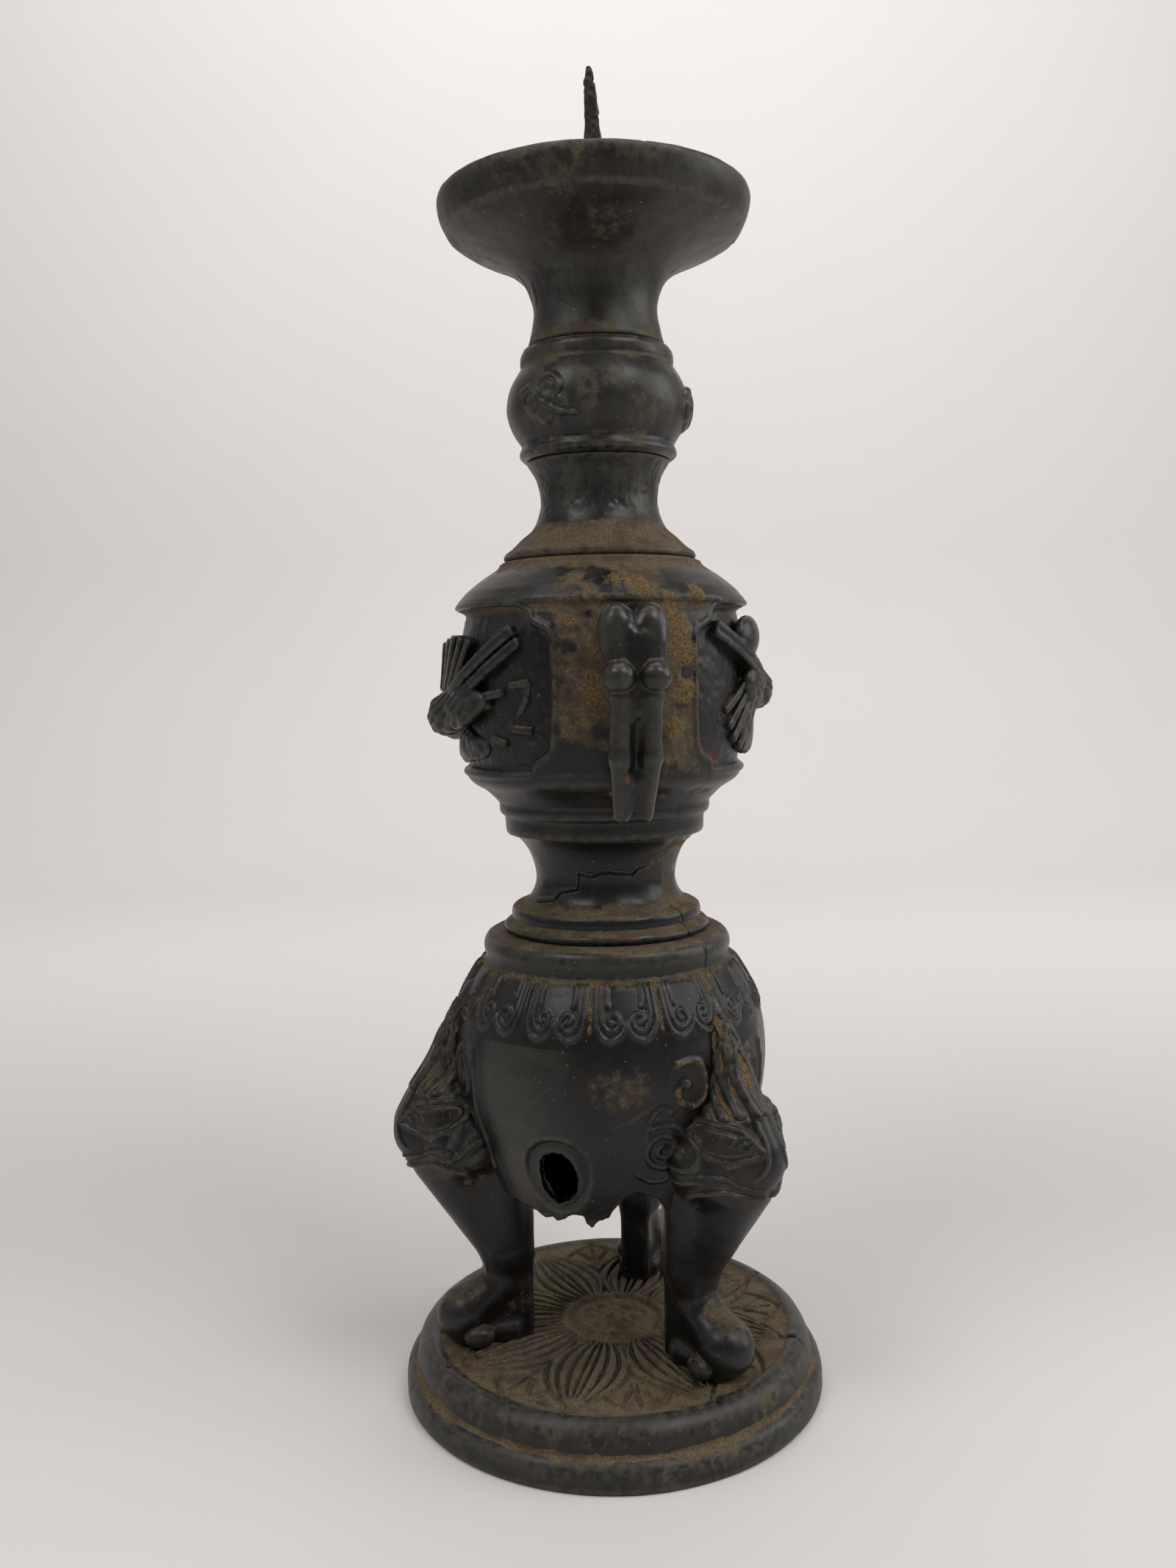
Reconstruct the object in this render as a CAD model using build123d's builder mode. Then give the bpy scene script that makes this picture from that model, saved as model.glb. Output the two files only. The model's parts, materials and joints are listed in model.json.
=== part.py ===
"""Altar candlestick: a stack of bronze castings with an iron pricket.

From the table up: lotus base plate, hollow tripod with three animal legs, waisted pedestal, vase with
two relief panels and two ear handles, neck cap, knop, drip pan, pricket.

Frame: +Z up, origin at the centre of the base plate's underside, front leg towards -Y, handles on +X
and -X, relief panels towards -Y and +Y. Lengths in millimetres, angles in degrees.
"""

import os

from build123d import *

os.makedirs("parts", exist_ok=True)

# Heights of the seats between the castings, from the table up
plate_top_z = 11.0
bell_rim_z = 43.0
bell_floor_z = 45.2
tripod_top_z = 93.4
vase_foot_z = 112.8
vase_top_z = 166.0
knop_foot_z = 185.4
knop_top_z = 206.6
pan_floor_z = 228.6
pan_rim_z = 235.2
tip_z = 260.0

# Radii of the turned forms
plate_r = 42.6
plate_step_r = 40.6
plate_field_r = 37.9
pod_r = 7.6
bell_r = 31.6
band_r = 24.2
ring_r = 20.6
small_ring_r = 18.9
waist_r = 13.9
vase_foot_r = 19.8
vase_r = 29.2
panel_field_r = 27.4
lip_r = 28.4
cap_r = 18.9
neck_r = 11.5
knop_r = 17.7
band_knop_r = 14.9
pan_neck_r = 12.0
pan_r = 30.2

# Fits: spigots that are soldered in, and the loose tenon that lets the upper stem lift out
soldered_gap = 0.05
tenon_gap = 0.10
tenon_r = 9.0
tenon_length = 9.0
spigot_r = 8.0
spigot_length = 4.6
stem_bore_r = 5.5
pedestal_spigot_r = 12.2
pedestal_bore_r = 10.0
pedestal_spigot_up = 4.2
pedestal_spigot_down = 2.8

# Legs and their rivets
leg_count = 3
front_leg_angle = -90
heel_r = 22.0
rivet_r = 1.5
rivet_head_r = 2.6
rivet_head_height = 1.0
rivet_top_z = 17.0
plate_underside_z = 8.8

# Pricket
tang_r = 2.95
tang_foot_z = 214.4
neck_hollow_top_z = 216.0

# Damage in the bell: one hole through the wall, a ragged rim below it, and a bite beside the next leg
hole_angle = -35.4
hole_z = 51.0
hole_width = 7.8
hole_height = 11.4
ragged_angle = -30
bite_angle = -3

# The vase, its cartouches and its handles sit turned a little against the tripod
vase_turn = -4

# Plug beside the handle
plug_angle = 22
plug_z = 144.0
plug_r = 1.0


# ---------------------------------------------------------------- base plate
with BuildPart() as base_plate:
    with BuildSketch(Plane.XZ) as plate_section:
        with BuildLine():
            side = Line((plate_r, 0), (plate_r, 2.6))
            lower_round = ThreePointArc(side @ 1, (42.3, 4.2), (41.4, 5.1))
            ledge = Polyline(lower_round @ 1, (plate_step_r, 5.4), (plate_step_r - 0.1, 6.2))
            upper_round = ThreePointArc(ledge @ 1, (39.8, 9.4), (plate_field_r, plate_top_z))
            Polyline(
                upper_round @ 1,
                (0, plate_top_z),
                (0, plate_underside_z),
                (36.4, plate_underside_z),
                (38.6, 6.4),
                (40.2, 0),
                side @ 0,
            )
        make_face()
    revolve(axis=Axis.Z)
    with BuildSketch(Plane.XY.offset(plate_top_z)):
        Circle(pod_r)
    extrude(amount=1.2, taper=25)
    with PolarLocations(heel_r, leg_count, start_angle=front_leg_angle):
        Hole(rivet_r + soldered_gap)
base_plate.part.label = "base_plate"
export_step(base_plate.part, "parts/base_plate.step")


# ---------------------------------------------------------------- leg rivets
with BuildPart() as leg_rivets:
    with BuildSketch(Plane.XY.offset(plate_underside_z)):
        with PolarLocations(heel_r, leg_count, start_angle=front_leg_angle):
            Circle(rivet_r)
    extrude(amount=rivet_top_z - plate_underside_z)
    with BuildSketch(Plane.XY.offset(plate_underside_z)):
        with PolarLocations(heel_r, leg_count, start_angle=front_leg_angle):
            Circle(rivet_head_r)
    extrude(amount=-rivet_head_height, taper=20)
leg_rivets.part.label = "leg_rivets"
export_step(leg_rivets.part, "parts/leg_rivets.step")


# ---------------------------------------------------------------- tripod body
# One leg along +X: upright ellipses from the heel up to the shoulder of the bell.
# Each row is height, inner radius, outer radius, width across.
leg_stations = [
    (plate_top_z, 17.0, 27.2, 7.6),
    (20.0, 17.0, 26.6, 6.4),
    (28.5, 17.0, 26.8, 6.2),
    (38.0, 17.4, 33.6, 10.0),
    (48.0, 19.0, 40.2, 15.0),
    (56.0, 21.0, 43.8, 17.0),
    (66.0, 22.0, 38.6, 17.0),
    (79.0, 22.5, 30.4, 14.0),
]
with BuildPart() as leg:
    for height, inner, outer, width in leg_stations:
        with BuildSketch(Plane.XY.offset(height)):
            with Locations(((inner + outer) / 2, 0)):
                Ellipse((outer - inner) / 2, width / 2)
    loft()

toe_ball_r = 4.4
side_toe_r = 3.0
with BuildPart() as paw:
    with Locations((32.4, 0, plate_top_z + toe_ball_r)):
        Sphere(toe_ball_r)
    with Locations((30.4, 4.6, plate_top_z + side_toe_r), (30.4, -4.6, plate_top_z + side_toe_r)):
        Sphere(side_toe_r)
    with BuildSketch(Plane.YZ.offset(heel_r)):
        with Locations((0, plate_top_z + 5.6)):
            Ellipse(3.4, 5.2)
    with BuildSketch(Plane.YZ.offset(31.8)):
        with Locations((0, plate_top_z + 4.2)):
            Ellipse(5.6, 3.9)
    loft()

# The hollow of the bell, closed below by its floor
with BuildPart() as bell_cavity:
    with BuildSketch(Plane.XZ):
        with BuildLine():
            cavity_wall = Spline((22.6, bell_floor_z), (24.8, 50.5), (28.4, 60), (29.3, 70), (28.0, 78.5))
            Polyline(
                cavity_wall @ 1,
                (21.6, 87.0),
                (21.2, 91.0),
                (0, 91.0),
                (0, bell_floor_z),
                cavity_wall @ 0,
            )
        make_face()
    revolve(axis=Axis.Z)

with BuildPart() as tripod_body:
    with BuildSketch(Plane.XZ):
        with BuildLine():
            bell_wall = Spline((23.6, bell_rim_z), (27.0, 50), (30.6, 60), (bell_r, 70), (30.2, 79), (26.6, 85.8))
            shoulder = Polyline(bell_wall @ 1, (24.3, 87.4), (band_r, 88.0))
            band = ThreePointArc(shoulder @ 1, (band_r + 0.3, 91.0), (22.6, tripod_top_z))
            Polyline(band @ 1, (0, tripod_top_z), (0, bell_rim_z), bell_wall @ 0)
        make_face()
    revolve(axis=Axis.Z)
    with PolarLocations(0, leg_count, start_angle=front_leg_angle):
        add(leg.part)
        add(paw.part)
    add(bell_cavity.part, mode=Mode.SUBTRACT)
    # the socket for the pedestal's lower spigot
    with BuildSketch(Plane.XY.offset(tripod_top_z)):
        Circle(pedestal_spigot_r + soldered_gap)
    extrude(amount=-(tripod_top_z - 90.0), mode=Mode.SUBTRACT)
    # blind holes in the heels for the rivets
    with BuildSketch(Plane.XY.offset(plate_top_z)):
        with PolarLocations(heel_r, leg_count, start_angle=front_leg_angle):
            Circle(rivet_r + soldered_gap)
    extrude(amount=rivet_top_z - plate_top_z + 0.2, mode=Mode.SUBTRACT)
    # the hole through the wall, leaning to one side
    with BuildSketch(Plane.YZ.rotated((0, 0, hole_angle)).offset(15)):
        with Locations((0, hole_z)):
            Ellipse(hole_width / 2, hole_height / 2, rotation=12)
    extrude(amount=25, mode=Mode.SUBTRACT)
    # the ragged edge below the hole
    with BuildSketch(Plane.YZ.rotated((0, 0, ragged_angle)).offset(15)):
        with BuildLine():
            Polyline(
                (-9, 42),
                (-6.2, 43.6),
                (-4.6, 42.9),
                (-1.2, 44.2),
                (0.2, 43.2),
                (3.6, 43.4),
                (6.6, 44.2),
                (8, 42),
                close=True,
            )
        make_face()
    extrude(amount=25, mode=Mode.SUBTRACT)
    # the bite out of the rim
    with BuildSketch(Plane.YZ.rotated((0, 0, bite_angle)).offset(19)):
        with BuildLine():
            Polyline(
                (-5, 42),
                (-3.9, 44.4),
                (-2.4, 46.8),
                (0, 47.6),
                (3.4, 46.4),
                (5.2, 43.6),
                (5.8, 42),
                close=True,
            )
        make_face()
    extrude(amount=20, mode=Mode.SUBTRACT)
tripod_body.part.label = "tripod_body"
export_step(tripod_body.part, "parts/tripod_body.step")


# ---------------------------------------------------------------- pedestal
with BuildPart() as pedestal:
    with BuildSketch(Plane.XZ):
        with BuildLine():
            low_spigot = Polyline(
                (pedestal_bore_r, tripod_top_z - pedestal_spigot_down),
                (pedestal_spigot_r, tripod_top_z - pedestal_spigot_down),
                (pedestal_spigot_r, tripod_top_z),
                (ring_r - 0.4, tripod_top_z),
            )
            big_ring = ThreePointArc(low_spigot @ 1, (ring_r, 94.4), (19.6, 95.5))
            small_ring = ThreePointArc(big_ring @ 1, (small_ring_r + 0.1, 97.3), (16.6, 98.8))
            waist = Spline(small_ring @ 1, (14.3, 101.8), (waist_r, 104.2), (15.3, 108.8), (18.0, vase_foot_z))
            Polyline(
                waist @ 1,
                (pedestal_spigot_r, vase_foot_z),
                (pedestal_spigot_r, vase_foot_z + pedestal_spigot_up),
                (pedestal_bore_r, vase_foot_z + pedestal_spigot_up),
                low_spigot @ 0,
            )
        make_face()
    revolve(axis=Axis.Z)
pedestal.part.label = "pedestal"
export_step(pedestal.part, "parts/pedestal.step")


# ---------------------------------------------------------------- vase body
# The two cartouches: a wide frame whose upper corners are notched and lower corners cut off
panel_half_width = 25.0
panel_low_z = 126.4
panel_high_z = 156.6
corner_cut = 3.2
with BuildPart() as panel_recess:
    with BuildSketch(Plane.XY.offset(panel_low_z)):
        Circle(lip_r + 4)
        Circle(panel_field_r, mode=Mode.SUBTRACT)
    extrude(amount=panel_high_z - panel_low_z)
    with BuildSketch(Plane.XZ):
        with BuildLine():
            Polyline(
                (-panel_half_width + corner_cut, panel_low_z),
                (panel_half_width - corner_cut, panel_low_z),
                (panel_half_width, panel_low_z + corner_cut),
                (panel_half_width, panel_high_z - corner_cut),
                (panel_half_width - corner_cut, panel_high_z),
                (-panel_half_width + corner_cut, panel_high_z),
                (-panel_half_width, panel_high_z - corner_cut),
                (-panel_half_width, panel_low_z + corner_cut),
                close=True,
            )
        make_face()
    extrude(amount=lip_r + 6, both=True, mode=Mode.INTERSECT)

plug_plane = Plane.YZ.rotated((0, 0, plug_angle))
with BuildPart() as vase_body:
    with BuildSketch(Plane.XZ):
        with BuildLine():
            foot = Polyline(
                (pedestal_spigot_r + soldered_gap, vase_foot_z),
                (vase_foot_r - 0.4, vase_foot_z),
                (vase_foot_r, 113.6),
                (vase_foot_r, 116.4),
                (20.9, 117.2),
                (20.9, 119.2),
            )
            under = Spline(foot @ 1, (23.4, 121.6), (26.4, 123.6), (27.6, 126.0))
            wall = Spline(under @ 1, (28.7, 132), (vase_r, 142), (28.9, 151), (27.6, 156.4))
            lip = Polyline(wall @ 1, (lip_r, 157.2), (lip_r - 0.1, 158.0))
            dome = Spline(lip @ 1, (26.8, 160.0), (23.6, 162.6), (19.6, 165.2))
            mouth = Polyline(dome @ 1, (19.6, vase_top_z), (tenon_r + tenon_gap, vase_top_z))
            collar = Polyline(mouth @ 1, (tenon_r + tenon_gap, 162.8), (17.6, 162.4))
            inside_top = Spline(collar @ 1, (22.0, 160.6), (25.4, 157.0))
            inside = Spline(inside_top @ 1, (26.0, 150), (26.2, 142), (25.6, 130), (23.6, 123.8), (17.8, 119.6))
            Polyline(
                inside @ 1,
                (0, 119.6),
                (0, vase_foot_z + pedestal_spigot_up + 0.2),
                (pedestal_spigot_r + soldered_gap, vase_foot_z + pedestal_spigot_up + 0.2),
                foot @ 0,
            )
        make_face()
    revolve(axis=Axis.Z)
    add(panel_recess.part, mode=Mode.SUBTRACT)
    with BuildSketch(plug_plane.offset(20)):
        with Locations((0, plug_z)):
            Circle(plug_r + soldered_gap)
    extrude(amount=15, mode=Mode.SUBTRACT)
seated_vase = vase_body.part.rotate(Axis.Z, vase_turn)
seated_vase.label = "vase_body"
export_step(seated_vase, "parts/vase_body.step")


# ---------------------------------------------------------------- chaplet plug
with BuildPart() as chaplet_plug:
    with BuildSketch(plug_plane.offset(26.4)):
        with Locations((0, plug_z)):
            Circle(plug_r)
    extrude(amount=vase_r - 26.4)
seated_plug = chaplet_plug.part.rotate(Axis.Z, vase_turn)
seated_plug.label = "chaplet_plug"
export_step(seated_plug, "parts/chaplet_plug.step")


# ---------------------------------------------------------------- panel reliefs
# A bird with its wings raised to both upper corners and its tail spread below, bent to the wall: the
# outline is cut from a ring that starts on the panel's field, and the breast stands out as a ball.
wing_rise = 3.8
breast_r = 4.2
breast_z = 138.4
relief_low_z = 127.6
relief_high_z = 156.0
half_bird = [
    (0, 127.8),
    (8, 129),
    (9.5, 134),
    (12, 139),
    (21, 150.5),
    (18.5, 154),
    (9, 147),
    (6.5, 154.5),
    (3, 154.5),
    (0, 148),
]
bird_outline = half_bird + [(-x, z) for x, z in reversed(half_bird[1:-1])]
for side_name, facing in (("front_panel_relief", -1), ("back_panel_relief", 1)):
    with BuildPart() as panel_relief:
        with BuildSketch(Plane.XY.offset(relief_low_z)):
            Circle(panel_field_r + wing_rise)
        extrude(amount=relief_high_z - relief_low_z)
        with BuildSketch(Plane.XZ):
            with BuildLine():
                Polyline(*bird_outline, close=True)
            make_face()
        # the sketch plane's normal points to -Y
        extrude(amount=-facing * (panel_field_r + 8), mode=Mode.INTERSECT)
        with Locations((0, facing * (panel_field_r + 7.4 - breast_r), breast_z)):
            Sphere(breast_r)
        with BuildSketch(Plane.XY.offset(relief_low_z)):
            Circle(panel_field_r + soldered_gap)
        extrude(amount=relief_high_z - relief_low_z, mode=Mode.SUBTRACT)
    seated_relief = panel_relief.part.rotate(Axis.Z, vase_turn)
    seated_relief.label = side_name
    export_step(seated_relief, f"parts/{side_name}.step")


# ---------------------------------------------------------------- ear handles
# Twin strips side by side: lobes at the shoulder, a ball on each, tails that end free above the foot
handle_width = 10.6
groove_width = 1.2
groove_depth = 1.4
ball_r = 2.85
ball_centre_r = 37.8
ball_z = 143.4
ball_spread = 3.1
for side_name, turn in (("right_handle", 0), ("left_handle", 180)):
    with BuildPart() as handle:
        with BuildSketch(Plane.XZ):
            with BuildLine():
                outside = Spline(
                    (28.9, 157.2),
                    (32.6, 158.0),
                    (36.6, 154.6),
                    (38.4, 147.5),
                    (38.0, 139),
                    (36.0, 129),
                    (33.0, 120.6),
                    (30.8, 118.2),
                )
                tail = ThreePointArc(outside @ 1, (29.4, 117.8), (29.0, 119.2))
                back = Polyline(tail @ 1, (29.4, 122.0), (27.4, 123.6), (28.6, 128.6), (30.4, 129.2))
                gap = Spline(back @ 1, (33.4, 130.6), (34.7, 139), (34.6, 147.5), (33.0, 150.8), (30.4, 151.6))
                Polyline(gap @ 1, (29.2, 151.8), outside @ 0)
            make_face()
        extrude(amount=handle_width / 2, both=True)
        with Locations((ball_centre_r, ball_spread, ball_z), (ball_centre_r, -ball_spread, ball_z)):
            Sphere(ball_r)
        with BuildSketch(Plane.YZ.offset(45)):
            with Locations((0, 137)):
                Rectangle(groove_width, 46)
        extrude(amount=-(45 - 38.4 + groove_depth), mode=Mode.SUBTRACT)
        # clear of the vase's wall: the back of the handle is trimmed to it
        add(vase_body.part, mode=Mode.SUBTRACT)
    seated_handle = handle.part.rotate(Axis.Z, turn + vase_turn)
    seated_handle.label = side_name
    export_step(seated_handle, f"parts/{side_name}.step")


# ---------------------------------------------------------------- neck cap
with BuildPart() as neck_cap:
    with BuildSketch(Plane.XZ):
        with BuildLine():
            tenon = Polyline(
                (stem_bore_r, vase_top_z - tenon_length),
                (tenon_r, vase_top_z - tenon_length),
                (tenon_r, vase_top_z),
                (cap_r - 0.3, vase_top_z),
            )
            cap_edge = ThreePointArc(tenon @ 1, (cap_r, 166.8), (18.3, 167.9))
            flare = Spline(
                cap_edge @ 1, (15.8, 170.2), (12.9, 172.6), (neck_r, 177.6), (12.3, 182.2), (14.2, knop_foot_z)
            )
            Polyline(
                flare @ 1,
                (spigot_r, knop_foot_z),
                (spigot_r, knop_foot_z + spigot_length),
                (stem_bore_r, knop_foot_z + spigot_length),
                tenon @ 0,
            )
        make_face()
    revolve(axis=Axis.Z)
neck_cap.part.label = "neck_cap"
export_step(neck_cap.part, "parts/neck_cap.step")


# ---------------------------------------------------------------- knop
knop_socket_r = spigot_r + soldered_gap
with BuildPart() as knop:
    with BuildSketch(Plane.XZ):
        with BuildLine():
            foot_band = Polyline(
                (knop_socket_r, knop_foot_z), (14.6, knop_foot_z), (15.3, 186.3), (15.3, 187.6), (15.0, 188.8)
            )
            bulb = Spline(foot_band @ 1, (16.4, 190.9), (knop_r, 195.8), (16.9, 199.6), (band_knop_r - 0.2, 203.4))
            top_band = Polyline(
                bulb @ 1, (band_knop_r, 204.0), (band_knop_r, 205.8), (14.0, knop_top_z), (knop_socket_r, knop_top_z)
            )
            socket = Line(top_band @ 1, (knop_socket_r, knop_top_z - spigot_length - 0.4))
            core = Spline(socket @ 1, (12.2, 198.4), (12.6, 195), (11.6, 191.8), (knop_socket_r, 190.4))
            Line(core @ 1, foot_band @ 0)
        make_face()
    revolve(axis=Axis.Z)
knop.part.label = "knop"
export_step(knop.part, "parts/knop.step")


# ---------------------------------------------------------------- drip pan
with BuildPart() as drip_pan:
    with BuildSketch(Plane.XZ):
        with BuildLine():
            stub = Polyline(
                (stem_bore_r, knop_top_z - spigot_length),
                (spigot_r, knop_top_z - spigot_length),
                (spigot_r, knop_top_z),
                (13.6, knop_top_z),
            )
            trumpet = Spline(stub @ 1, (12.6, 210.2), (pan_neck_r, 214.4), (12.7, 217.6), (14.0, 220.2), (16.4, 222.3))
            underside = Spline(trumpet @ 1, (20.0, 224.3), (25.2, 226.7))
            outer_wall = Spline(underside @ 1, (28.5, 228.7), (29.8, 231.4), (pan_r, 234.2))
            rim = ThreePointArc(outer_wall @ 1, (29.5, pan_rim_z), (28.7, 234.4))
            inner_wall = Spline(rim @ 1, (28.0, 231.2), (24.6, pan_floor_z))
            Polyline(
                inner_wall @ 1,
                (tang_r + soldered_gap, pan_floor_z),
                (tang_r + soldered_gap, neck_hollow_top_z),
                (stem_bore_r, neck_hollow_top_z),
                stub @ 0,
            )
        make_face()
    revolve(axis=Axis.Z)
drip_pan.part.label = "drip_pan"
export_step(drip_pan.part, "parts/drip_pan.step")


# ---------------------------------------------------------------- pricket
with BuildPart() as pricket:
    with BuildSketch(Plane.XY.offset(pan_floor_z)):
        Rectangle(4.4, 3.8)
    with BuildSketch(Plane.XY.offset(tip_z)):
        Rectangle(1.4, 1.2)
    loft()
    with BuildSketch(Plane.XY.offset(tang_foot_z)):
        Circle(tang_r)
    extrude(amount=pan_floor_z - tang_foot_z)
pricket.part.label = "pricket"
export_step(pricket.part, "parts/pricket.step")
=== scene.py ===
"""Looks of the altar candlestick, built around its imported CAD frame.

Shapes are worked out in millimetres, as in the CAD, and scaled to metres when a mesh is made. Turned
castings are grids pushed in and out by their relief; legs, birds and handles are skins of distance
fields. r, z and angle are a point's radius, height and angle round the axis. All noise is seeded.
"""

import json
import math

import bpy
import numpy as np
from mathutils import Matrix, Vector


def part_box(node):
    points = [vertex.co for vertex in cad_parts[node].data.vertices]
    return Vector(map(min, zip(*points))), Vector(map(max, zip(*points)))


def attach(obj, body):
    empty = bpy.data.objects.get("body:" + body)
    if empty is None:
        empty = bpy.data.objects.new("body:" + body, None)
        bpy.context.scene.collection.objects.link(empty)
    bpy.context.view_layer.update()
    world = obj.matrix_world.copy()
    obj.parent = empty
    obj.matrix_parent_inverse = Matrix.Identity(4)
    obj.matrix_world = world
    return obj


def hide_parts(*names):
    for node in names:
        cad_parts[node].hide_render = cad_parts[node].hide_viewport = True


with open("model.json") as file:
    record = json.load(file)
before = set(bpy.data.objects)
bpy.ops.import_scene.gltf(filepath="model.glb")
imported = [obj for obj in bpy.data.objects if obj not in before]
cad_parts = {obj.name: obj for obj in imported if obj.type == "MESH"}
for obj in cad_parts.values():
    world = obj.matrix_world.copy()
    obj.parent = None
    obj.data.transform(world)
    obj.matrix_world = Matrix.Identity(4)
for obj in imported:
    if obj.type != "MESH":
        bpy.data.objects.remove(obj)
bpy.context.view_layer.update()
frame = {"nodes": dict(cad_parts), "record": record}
MM = 0.001
STAND, STEM = "stand", "upper_stem"


def low(node, axis=2):
    """Lowest coordinate of a CAD node, in millimetres."""
    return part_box(node)[0][axis] / MM


def high(node, axis=2):
    """Highest coordinate of a CAD node, in millimetres."""
    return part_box(node)[1][axis] / MM


def middle_angle(node):
    """Angle round the axis of the middle of a CAD node's box."""
    start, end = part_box(node)
    return math.atan2(start[1] + end[1], start[0] + end[0])


PLATE_TOP = low("tripod_body")
PLATE_R = high("base_plate", 0)
TRIPOD_TOP = high("tripod_body")
VASE_FOOT, VASE_TOP = low("vase_body"), high("vase_body")
VASE_LIP_R = high("vase_body", 1)
KNOP_FOOT, KNOP_TOP = low("knop"), high("knop")
PAN_FLOOR = {m["name"]: m for m in frame["record"]["mounts"]}["drip_pan_floor"]["pos_m"][2] / MM
PAN_RIM, PAN_R = high("drip_pan"), high("drip_pan", 0)
TIP = high("pricket")
LEG_ANGLES = np.radians([-90, 30, 150])
VIEW_FROM = math.radians(-13)


# ---- numbers and noise
def ease(x, lo, hi):
    """Smooth step from 0 at lo to 1 at hi."""
    t = np.clip((x - lo) / (hi - lo), 0, 1)
    return t * t * (3 - 2 * t)


def hump(x, centre, width, power=2):
    """1 at the centre, falling away smoothly over the width."""
    return np.exp(-(((x - centre) / width) ** power))


def noise(points, size, seed):
    """Smooth noise, about -1 to 1, with features of the given size."""
    lattice = np.random.default_rng(seed).uniform(-1, 1, (24, 24, 24))
    p = np.asarray(points, float) / size + 7.3
    cell = np.floor(p).astype(int)
    t = ease(p - cell, 0, 1)
    total = 0
    for corner in np.ndindex(2, 2, 2):
        weight = np.prod(np.where(corner, t, 1 - t), axis=-1)
        total = total + weight * lattice[tuple(np.moveaxis((cell + corner) % 24, -1, 0))]
    return total


def layered(points, size, seed, layers=3):
    """Several octaves of noise, about -1 to 1."""
    total = sum(noise(points, size / 2**k, seed + k) / 2**k for k in range(layers))
    return total / (2 - 2 ** (1 - layers))


def patches(points, size, seed, lo, hi, layers=1):
    """Soft-edged patches, 0 to 1, where noise passes from lo to hi."""
    return ease(layered(points, size, seed, layers), lo, hi)


def casting_waves(points, seed, depth=0.12):
    """The slow unevenness of a hand-finished casting."""
    return depth * layered(points, 9.0, seed, 2) + 0.25 * depth * noise(points, 2.2, seed + 5)


def apart(angle, centre):
    """Signed angle from centre, between -pi and pi."""
    return (angle - centre + math.pi) % (2 * math.pi) - math.pi


# ---- lines and strokes
def curve(points, steps=6):
    """A smooth line through given points."""
    p = np.asarray(points, float)
    if len(p) < 3:
        return p
    ring = np.vstack([2 * p[0] - p[1], p, 2 * p[-1] - p[-2]])
    t = np.arange(steps)[:, None] / steps
    runs = [
        0.5 * (2 * b + (c - a) * t + (2 * a - 5 * b + 4 * c - d) * t**2 + (3 * b - a - 3 * c + d) * t**3)
        for a, b, c, d in zip(ring, ring[1:], ring[2:], ring[3:])
    ]
    return np.vstack([*runs, p[-1]])


def spiral(centre, outer, inner, turns, start, hand=1, tall=1.0):
    """Points of a spiral winding inwards from its outer radius; start is an angle in degrees."""
    t = np.linspace(0, 1, int(26 * turns) + 2)
    angle = math.radians(start) + hand * 2 * math.pi * turns * t
    radius = outer + (inner - outer) * t
    return np.stack([centre[0] + radius * np.cos(angle), centre[1] + tall * radius * np.sin(angle)], 1)


def off_line(u, v, line):
    """Distance from every (u, v) to a polyline, and how far along it (0 to 1) the nearest point is."""
    best, along = np.full(np.shape(u), 1e9), np.zeros(np.shape(u))
    count = len(line) - 1
    for k, (a, d) in enumerate(zip(line, np.diff(line, axis=0))):
        t = np.clip(((u - a[0]) * d[0] + (v - a[1]) * d[1]) / max(d @ d, 1e-12), 0, 1)
        gap = np.hypot(u - a[0] - t * d[0], v - a[1] - t * d[1])
        along = np.where(gap < best, (k + t) / count, along)
        best = np.minimum(gap, best)
    return best, along


def ridge(u, v, line, width, taper=0.0):
    """A rounded ridge along a line: 1 on the line, 0 at half its width. taper thins its far end."""
    result = np.zeros(np.shape(u))
    start, end = line.min(0) - width, line.max(0) + width
    near = (u > start[0]) & (u < end[0]) & (v > start[1]) & (v < end[1])
    if near.any():
        gap, along = off_line(u[near], v[near], line)
        result[near] = np.clip(1 - (gap / (0.5 * width * (1 - taper * along))) ** 2, 0, 1)
    return result


def strokes(u, v, lines):
    """The highest of several ridges, each given as (line, width) or (line, width, taper)."""
    result = np.zeros(np.shape(u))
    for line in lines:
        result = np.maximum(result, ridge(u, v, *line))
    return result


# ---- meshes
def gather(at, rows, count):
    """Sums of rows by the point that each belongs to."""
    return np.stack([np.bincount(at, column, count) for column in rows.T], 1)


def normals(verts, faces):
    """Unit normal of every point."""
    across = np.cross(verts[faces[:, 2]] - verts[faces[:, 0]], verts[faces[:, 3]] - verts[faces[:, 1]])
    normal = gather(faces.ravel(), np.repeat(across, 4, 0), len(verts))
    return normal / np.maximum(np.linalg.norm(normal, axis=1), 1e-12)[:, None]


def hollowness(verts, faces, normal, rounds):
    """How far each point lies below its smoothed surroundings, in millimetres: positive in grooves."""
    a, b, n = faces.ravel(), np.roll(faces, -1, 1).ravel(), len(verts)
    valence = np.maximum(np.bincount(a, minlength=n) + np.bincount(b, minlength=n), 1)[:, None]
    smooth = verts
    for _ in range(rounds):
        smooth = (gather(a, smooth[b], n) + gather(b, smooth[a], n)) / valence
    return ((smooth - verts) * normal).sum(1)


def add_object(name, data):
    thing = bpy.data.objects.new(name, data)
    bpy.context.scene.collection.objects.link(thing)
    return thing


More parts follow.
